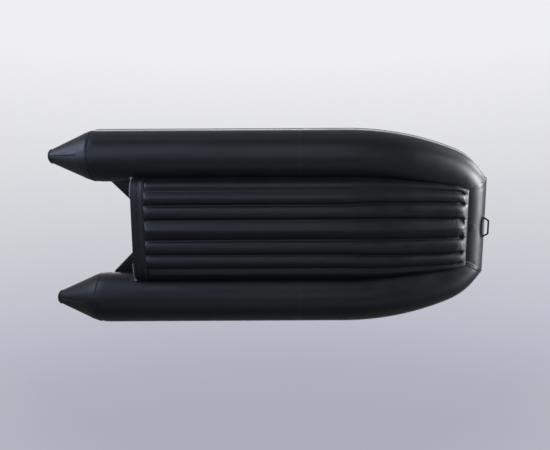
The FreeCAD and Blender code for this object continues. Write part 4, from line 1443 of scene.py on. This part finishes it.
def collar():
    """The pivot block on the loom: a ribbed sleeve with a flange at each end."""
    flange = [(-0.048, 0.0165), (-0.0475, 0.0255), (-0.046, 0.0268), (-0.041, 0.0268),
              (-0.0395, 0.0245)]
    rib = there_and_back([(-0.0028, 0.0238), (-0.0018, 0.0250)])
    ribs = [(x + d, r) for x in np.linspace(-0.036, 0.036, 8) for d, r in rib]
    profile = flange + ribs + there_and_back(flange)[len(flange):]
    return [turned_oar([(PIN_X + x, r) for x, r in profile], 48)]


def grip():
    """The hand grip: finger ribs and a rounded knob."""
    a, b = GRIP_START, OAR_END
    prof = [(a - 0.0001, 0.0158), (a, 0.0172), (a + 0.002, 0.0186), (a + 0.006, 0.0186)]
    for k in range(10):
        x = a + 0.014 + k * 0.0095
        prof += [(x - 0.0032, 0.0178), (x - 0.001, 0.0169), (x + 0.001, 0.0169),
                 (x + 0.0032, 0.0178)]
    prof += [(b - 0.012, 0.0186), (b - 0.006, 0.0190), (b - 0.002, 0.0178),
             (b - 0.0004, 0.0130), (b, 0.0060)]
    return [turned_oar(prof, 36)]


def blade():
    """A moulded blade: a dished plate, thicker along its spine, with stiffening ribs."""
    tip, root = OAR_TIP, BLADE_ROOT
    nx, ny = 70, 33
    xs = tip + (root - tip) * (1 - np.cos(np.linspace(0, math.pi, nx))) / 2
    verts = []
    for surface in (1, -1):
        for x in xs:
            u = x - tip
            wide = 0.075 if u < 0.258 else 0.075 - 0.045 * (u - 0.258) / 0.172
            corner = 0.040
            if u < corner:
                wide = wide - corner + math.sqrt(max(0, corner ** 2 - (corner - u) ** 2))
            for w in np.linspace(-1, 1, ny):
                y = wide * w
                spine = 0.0155 * math.exp(-(y / 0.013) ** 2) * min(1, max(0, (u - 0.06) / 0.37))
                plate = 0.0034 * math.sqrt(max(0, 1 - abs(w) ** 6)) + 0.0008
                rib = 0.0009 * math.exp(-((abs(y) - 0.040) / 0.004) ** 2) * (0.05 < u < 0.27)
                h = min(plate + rib, 0.0044) if spine < plate else max(plate, spine)
                end = min(1.0, u / 0.004 + 0.15)
                verts.append(v3(x, PIN_Y + y, OAR_Z + surface * h * end))
    n = nx * ny
    faces = grid_faces(nx, ny, start=0) + grid_faces(nx, ny, start=n, flip=True)
    for i in range(nx - 1):
        a, b = i * ny, (i + 1) * ny
        faces.append([a, b, n + b, n + a])
        faces.append([a + ny - 1, n + a + ny - 1, n + b + ny - 1, b + ny - 1])
    for j in range(ny - 1):
        faces.append([j, n + j, n + j + 1, j + 1])
        e = (nx - 1) * ny + j
        faces.append([e, e + 1, n + e + 1, n + e])
    socket = turned_oar([(root - 0.075, 0.0165), (root - 0.070, 0.0190), (root - 0.010, 0.0200),
                         (root + 0.020, 0.0195), (root + 0.0215, 0.0165)], 36)
    return [(verts, faces), socket]


oar_parts = (("loom", loom(), anodised.mat, "oar_tube"),
             ("collar", collar(), soft_plastic.mat, "moulded_plastic"),
             ("grip", grip(), black_rubber.mat, "black_rubber"),
             ("blade", blade(), soft_plastic.mat, "moulded_plastic"))
for label, parts, mat, slot_name in oar_parts:
    mirrored = [mirror_part(p) for p in parts]
    for side_name, made in (("port", parts), ("starboard", mirrored)):
        ob = joined(f"{side_name}_oar_{label}_skin", made, mat)
        keep(ob, slot_name, f"{side_name}_oar_{label}", body=f"{side_name}_oar")


# Camera

CAM = v3(0.0277, -0.5441, -3.5421)
LOOK = unit(v3(math.tan(math.radians(0.03)), math.tan(math.radians(7.98)), 1.0))
ROLL = math.radians(-0.301)
FOCAL_PX, PHOTO_PX, SENSOR = 458.9, 550, 36.0
right = unit(v3(1, 0, 0) - LOOK * LOOK[0])
image_up = np.cross(right, LOOK)
turned = math.cos(ROLL) * right + math.sin(ROLL) * image_up
image_up = -math.sin(ROLL) * right + math.cos(ROLL) * image_up
cam_data = bpy.data.cameras.new("camera")
cam_data.lens = SENSOR * FOCAL_PX / PHOTO_PX
cam_data.sensor_width = SENSOR
cam_data.clip_start, cam_data.clip_end = 0.05, 200.0
cam = bpy.data.objects.new("camera", cam_data)
bpy.context.scene.collection.objects.link(cam)
cam.matrix_world = Matrix(((turned[0], image_up[0], -LOOK[0], CAM[0]),
                           (turned[1], image_up[1], -LOOK[1], CAM[1]),
                           (turned[2], image_up[2], -LOOK[2], CAM[2]),
                           (0, 0, 0, 1)))
bpy.context.scene.camera = cam

# Floor, lamps and world


def stage_floor():
    """A wide pale floor that can only be seen from above. It takes the boat's shadow."""
    n = Nodes("stage_floor")
    grain = n.noise(3.0, 3.0)
    n.set(Base_Color=n.ramp(grain, [(0.2, (0.60, 0.60, 0.615, 1)), (0.8, (0.63, 0.63, 0.64, 1))]),
          Roughness=0.9, Specular_IOR_Level=0.0)
    glow = n.add("ShaderNodeEmission", Color=(0.73, 0.73, 0.75, 1), Strength=1.0)
    rays = n.add("ShaderNodeLightPath").outputs
    pale = n.shaders(n.maths("MULTIPLY", rays["Is Camera Ray"], 0.68), n.bsdf.outputs["BSDF"],
                     glow.outputs["Emission"])
    below = n.add("ShaderNodeNewGeometry").outputs["Backfacing"]
    clear = n.add("ShaderNodeBsdfTransparent").outputs["BSDF"]
    n.link(n.shaders(below, pale, clear), n.tree.nodes["Material Output"].inputs["Surface"])
    size = 60.0
    ob = mesh_piece("stage_floor", [(-size, -size, 0), (size, -size, 0), (size, size, 0),
                                    (-size, size, 0)], [(0, 1, 2, 3)], n.mat, False)
    ob.location.z = -0.0005
    ob.visible_shadow = False
    ob.visible_diffuse = False
    ob.visible_glossy = False
    ob.visible_transmission = False


stage_floor()


def softbox(name, place, aim, width, height, watts, tint, seen):
    """A soft lamp, seen in gloss, in diffuse light or in both."""
    data = bpy.data.lights.new(name, "AREA")
    data.shape = "RECTANGLE"
    data.size, data.size_y = width, height
    data.energy = watts
    data.color = tint
    ob = bpy.data.objects.new(name, data)
    bpy.context.scene.collection.objects.link(ob)
    ob.location = place
    ob.rotation_euler = (Vector(aim) - Vector(place)).to_track_quat("-Z", "Y").to_euler()
    ob.visible_camera = False
    ob.visible_glossy, ob.visible_diffuse = seen


COOL, PALE_BLUE, NEUTRAL = (0.64, 0.74, 1.0), (0.75, 0.85, 1.0), (0.96, 0.97, 1.0)
BOW_TINT, WHITE = (0.88, 0.91, 1.0), (1, 1, 1)
GLOSS, DIFFUSE, BOTH = (True, False), (False, True), (True, True)
MIDDLE, STERN = (0.0, 0.0, 0.2), (-1.4, 0.0, 0.2)
# Name, place, aim, width, height, watts, tint and what the lamp is seen in
for lamp in (
        ("key_below", (0.0, -0.5, -3.4), MIDDLE, 3.0, 1.0, 11, PALE_BLUE, BOTH),
        ("port_below", (0.0, 1.5, -2.0), MIDDLE, 4.0, 1.0, 4.5, PALE_BLUE, BOTH),
        ("bow_wide", (5.2, -1.2, -0.9), (1.3, -0.1, 0.2), 2.2, 1.6, 105, BOW_TINT, BOTH),
        ("bow_ahead", (5.5, 0.4, -0.36), (1.5, 0.0, 0.2), 2.5, 0.6, 105, BOW_TINT, GLOSS),
        ("bow_starboard", (3.2, -1.8, 0.7), (1.6, -0.2, 0.3), 1.1, 1.1, 5, NEUTRAL, BOTH),
        ("bow_port", (3.2, 1.2, -0.8), (1.6, 0.1, 0.3), 1.2, 1.2, 3.6, NEUTRAL, BOTH),
        ("bow_corner", (2.6, -1.2, -0.5), (1.6, -0.3, 0.3), 0.5, 0.5, 4, NEUTRAL, BOTH),
        ("bow_upper", (3.4, -1.15, 1.1), (1.65, -0.45, 0.3), 0.5, 0.5, 15, NEUTRAL, GLOSS),
        ("bow_glint", (3.65, -0.75, -0.2), (1.68, -0.4, 0.15), 0.36, 0.36, 34, NEUTRAL, GLOSS),
        ("starboard_level", (-0.6, -4.2, -0.5), (-0.3, -0.6, 0.2), 4.5, 0.5, 9, COOL, BOTH),
        ("side_low", (-1.3, -1.1, -1.0), (-1.0, -0.1, 0.2), 1.4, 0.8, 4.6, COOL, BOTH),
        ("side_middle", (0.2, -1.1, -1.0), (0.2, -0.1, 0.2), 1.4, 0.8, 3.2, PALE_BLUE, BOTH),
        ("stern_low", (-3.8, -1.0, -1.0), STERN, 1.5, 1.5, 18, COOL, BOTH),
        ("stern_side", (-3.6, -2.0, -0.45), STERN, 1.5, 0.8, 26, COOL, BOTH),
        ("stern_below", (-2.8, -0.5, -2.2), (-1.2, 0.0, 0.2), 1.5, 1.5, 6, COOL, BOTH),
        ("top_soft", (-0.5, -0.8, 5.0), MIDDLE, 4.5, 3.5, 190, WHITE, BOTH),
        ("top_side", (2.5, 4.5, 2.6), (0.2, 0.0, 0.2), 3.0, 2.0, 90, WHITE, DIFFUSE),
        ("top_starboard", (0.3, -5.0, 4.0), (0.0, -0.8, 0.3), 4.0, 1.5, 250, WHITE, DIFFUSE)):
    softbox(*lamp)


def world():
    """A backdrop that darkens from starboard to port overhead, with an even horizon and a dark
    underside. Diffuse light gets an even, dim light instead."""
    w = bpy.data.worlds.new("studio")
    w.use_nodes = True
    bpy.context.scene.world = w
    n = Tree(w.node_tree)
    n.tree.nodes.clear()
    parts = n.add("ShaderNodeSeparateXYZ")
    n.link(n.add("ShaderNodeTexCoord").outputs["Generated"], parts.inputs[0])
    to_port, up = parts.outputs["Y"], parts.outputs["Z"]
    overhead = n.ramp(n.span(to_port, 0.0, 1.0, -1.0, 1.0), [
        (0.398, (0.863, 0.863, 0.88, 1)), (0.569, (0.63, 0.637, 0.683, 1)),
        (0.669, (0.487, 0.498, 0.576, 1)), (0.708, (0.436, 0.447, 0.523, 1)),
        (0.741, (0.412, 0.424, 0.51, 1))])
    level = n.mixed(n.span(up, 0.0, 1.0, 0.45, 0.8), (0.62, 0.62, 0.635, 1), overhead)
    sky = n.mixed(n.span(up, 0.0, 1.0, -0.30, -0.05), (0.10, 0.10, 0.11, 1), level)
    seen = n.add("ShaderNodeBackground")
    n.link(sky, seen.inputs["Color"])
    ambient = n.add("ShaderNodeBackground", Color=(0.93, 0.96, 1.0, 1), Strength=0.10)
    rays = n.add("ShaderNodeLightPath").outputs
    glossy = n.maths("MULTIPLY", rays["Is Glossy Ray"], n.span(to_port, 0.5, 0.12, 0.0, 0.6))
    share = n.maths("MAXIMUM", rays["Is Camera Ray"], glossy)
    share = n.maths("MAXIMUM", share, rays["Is Transmission Ray"])
    out = n.add("ShaderNodeOutputWorld")
    n.link(n.shaders(share, ambient.outputs[0], seen.outputs[0]), out.inputs["Surface"])


world()
bpy.context.scene.view_settings.view_transform = "Standard"
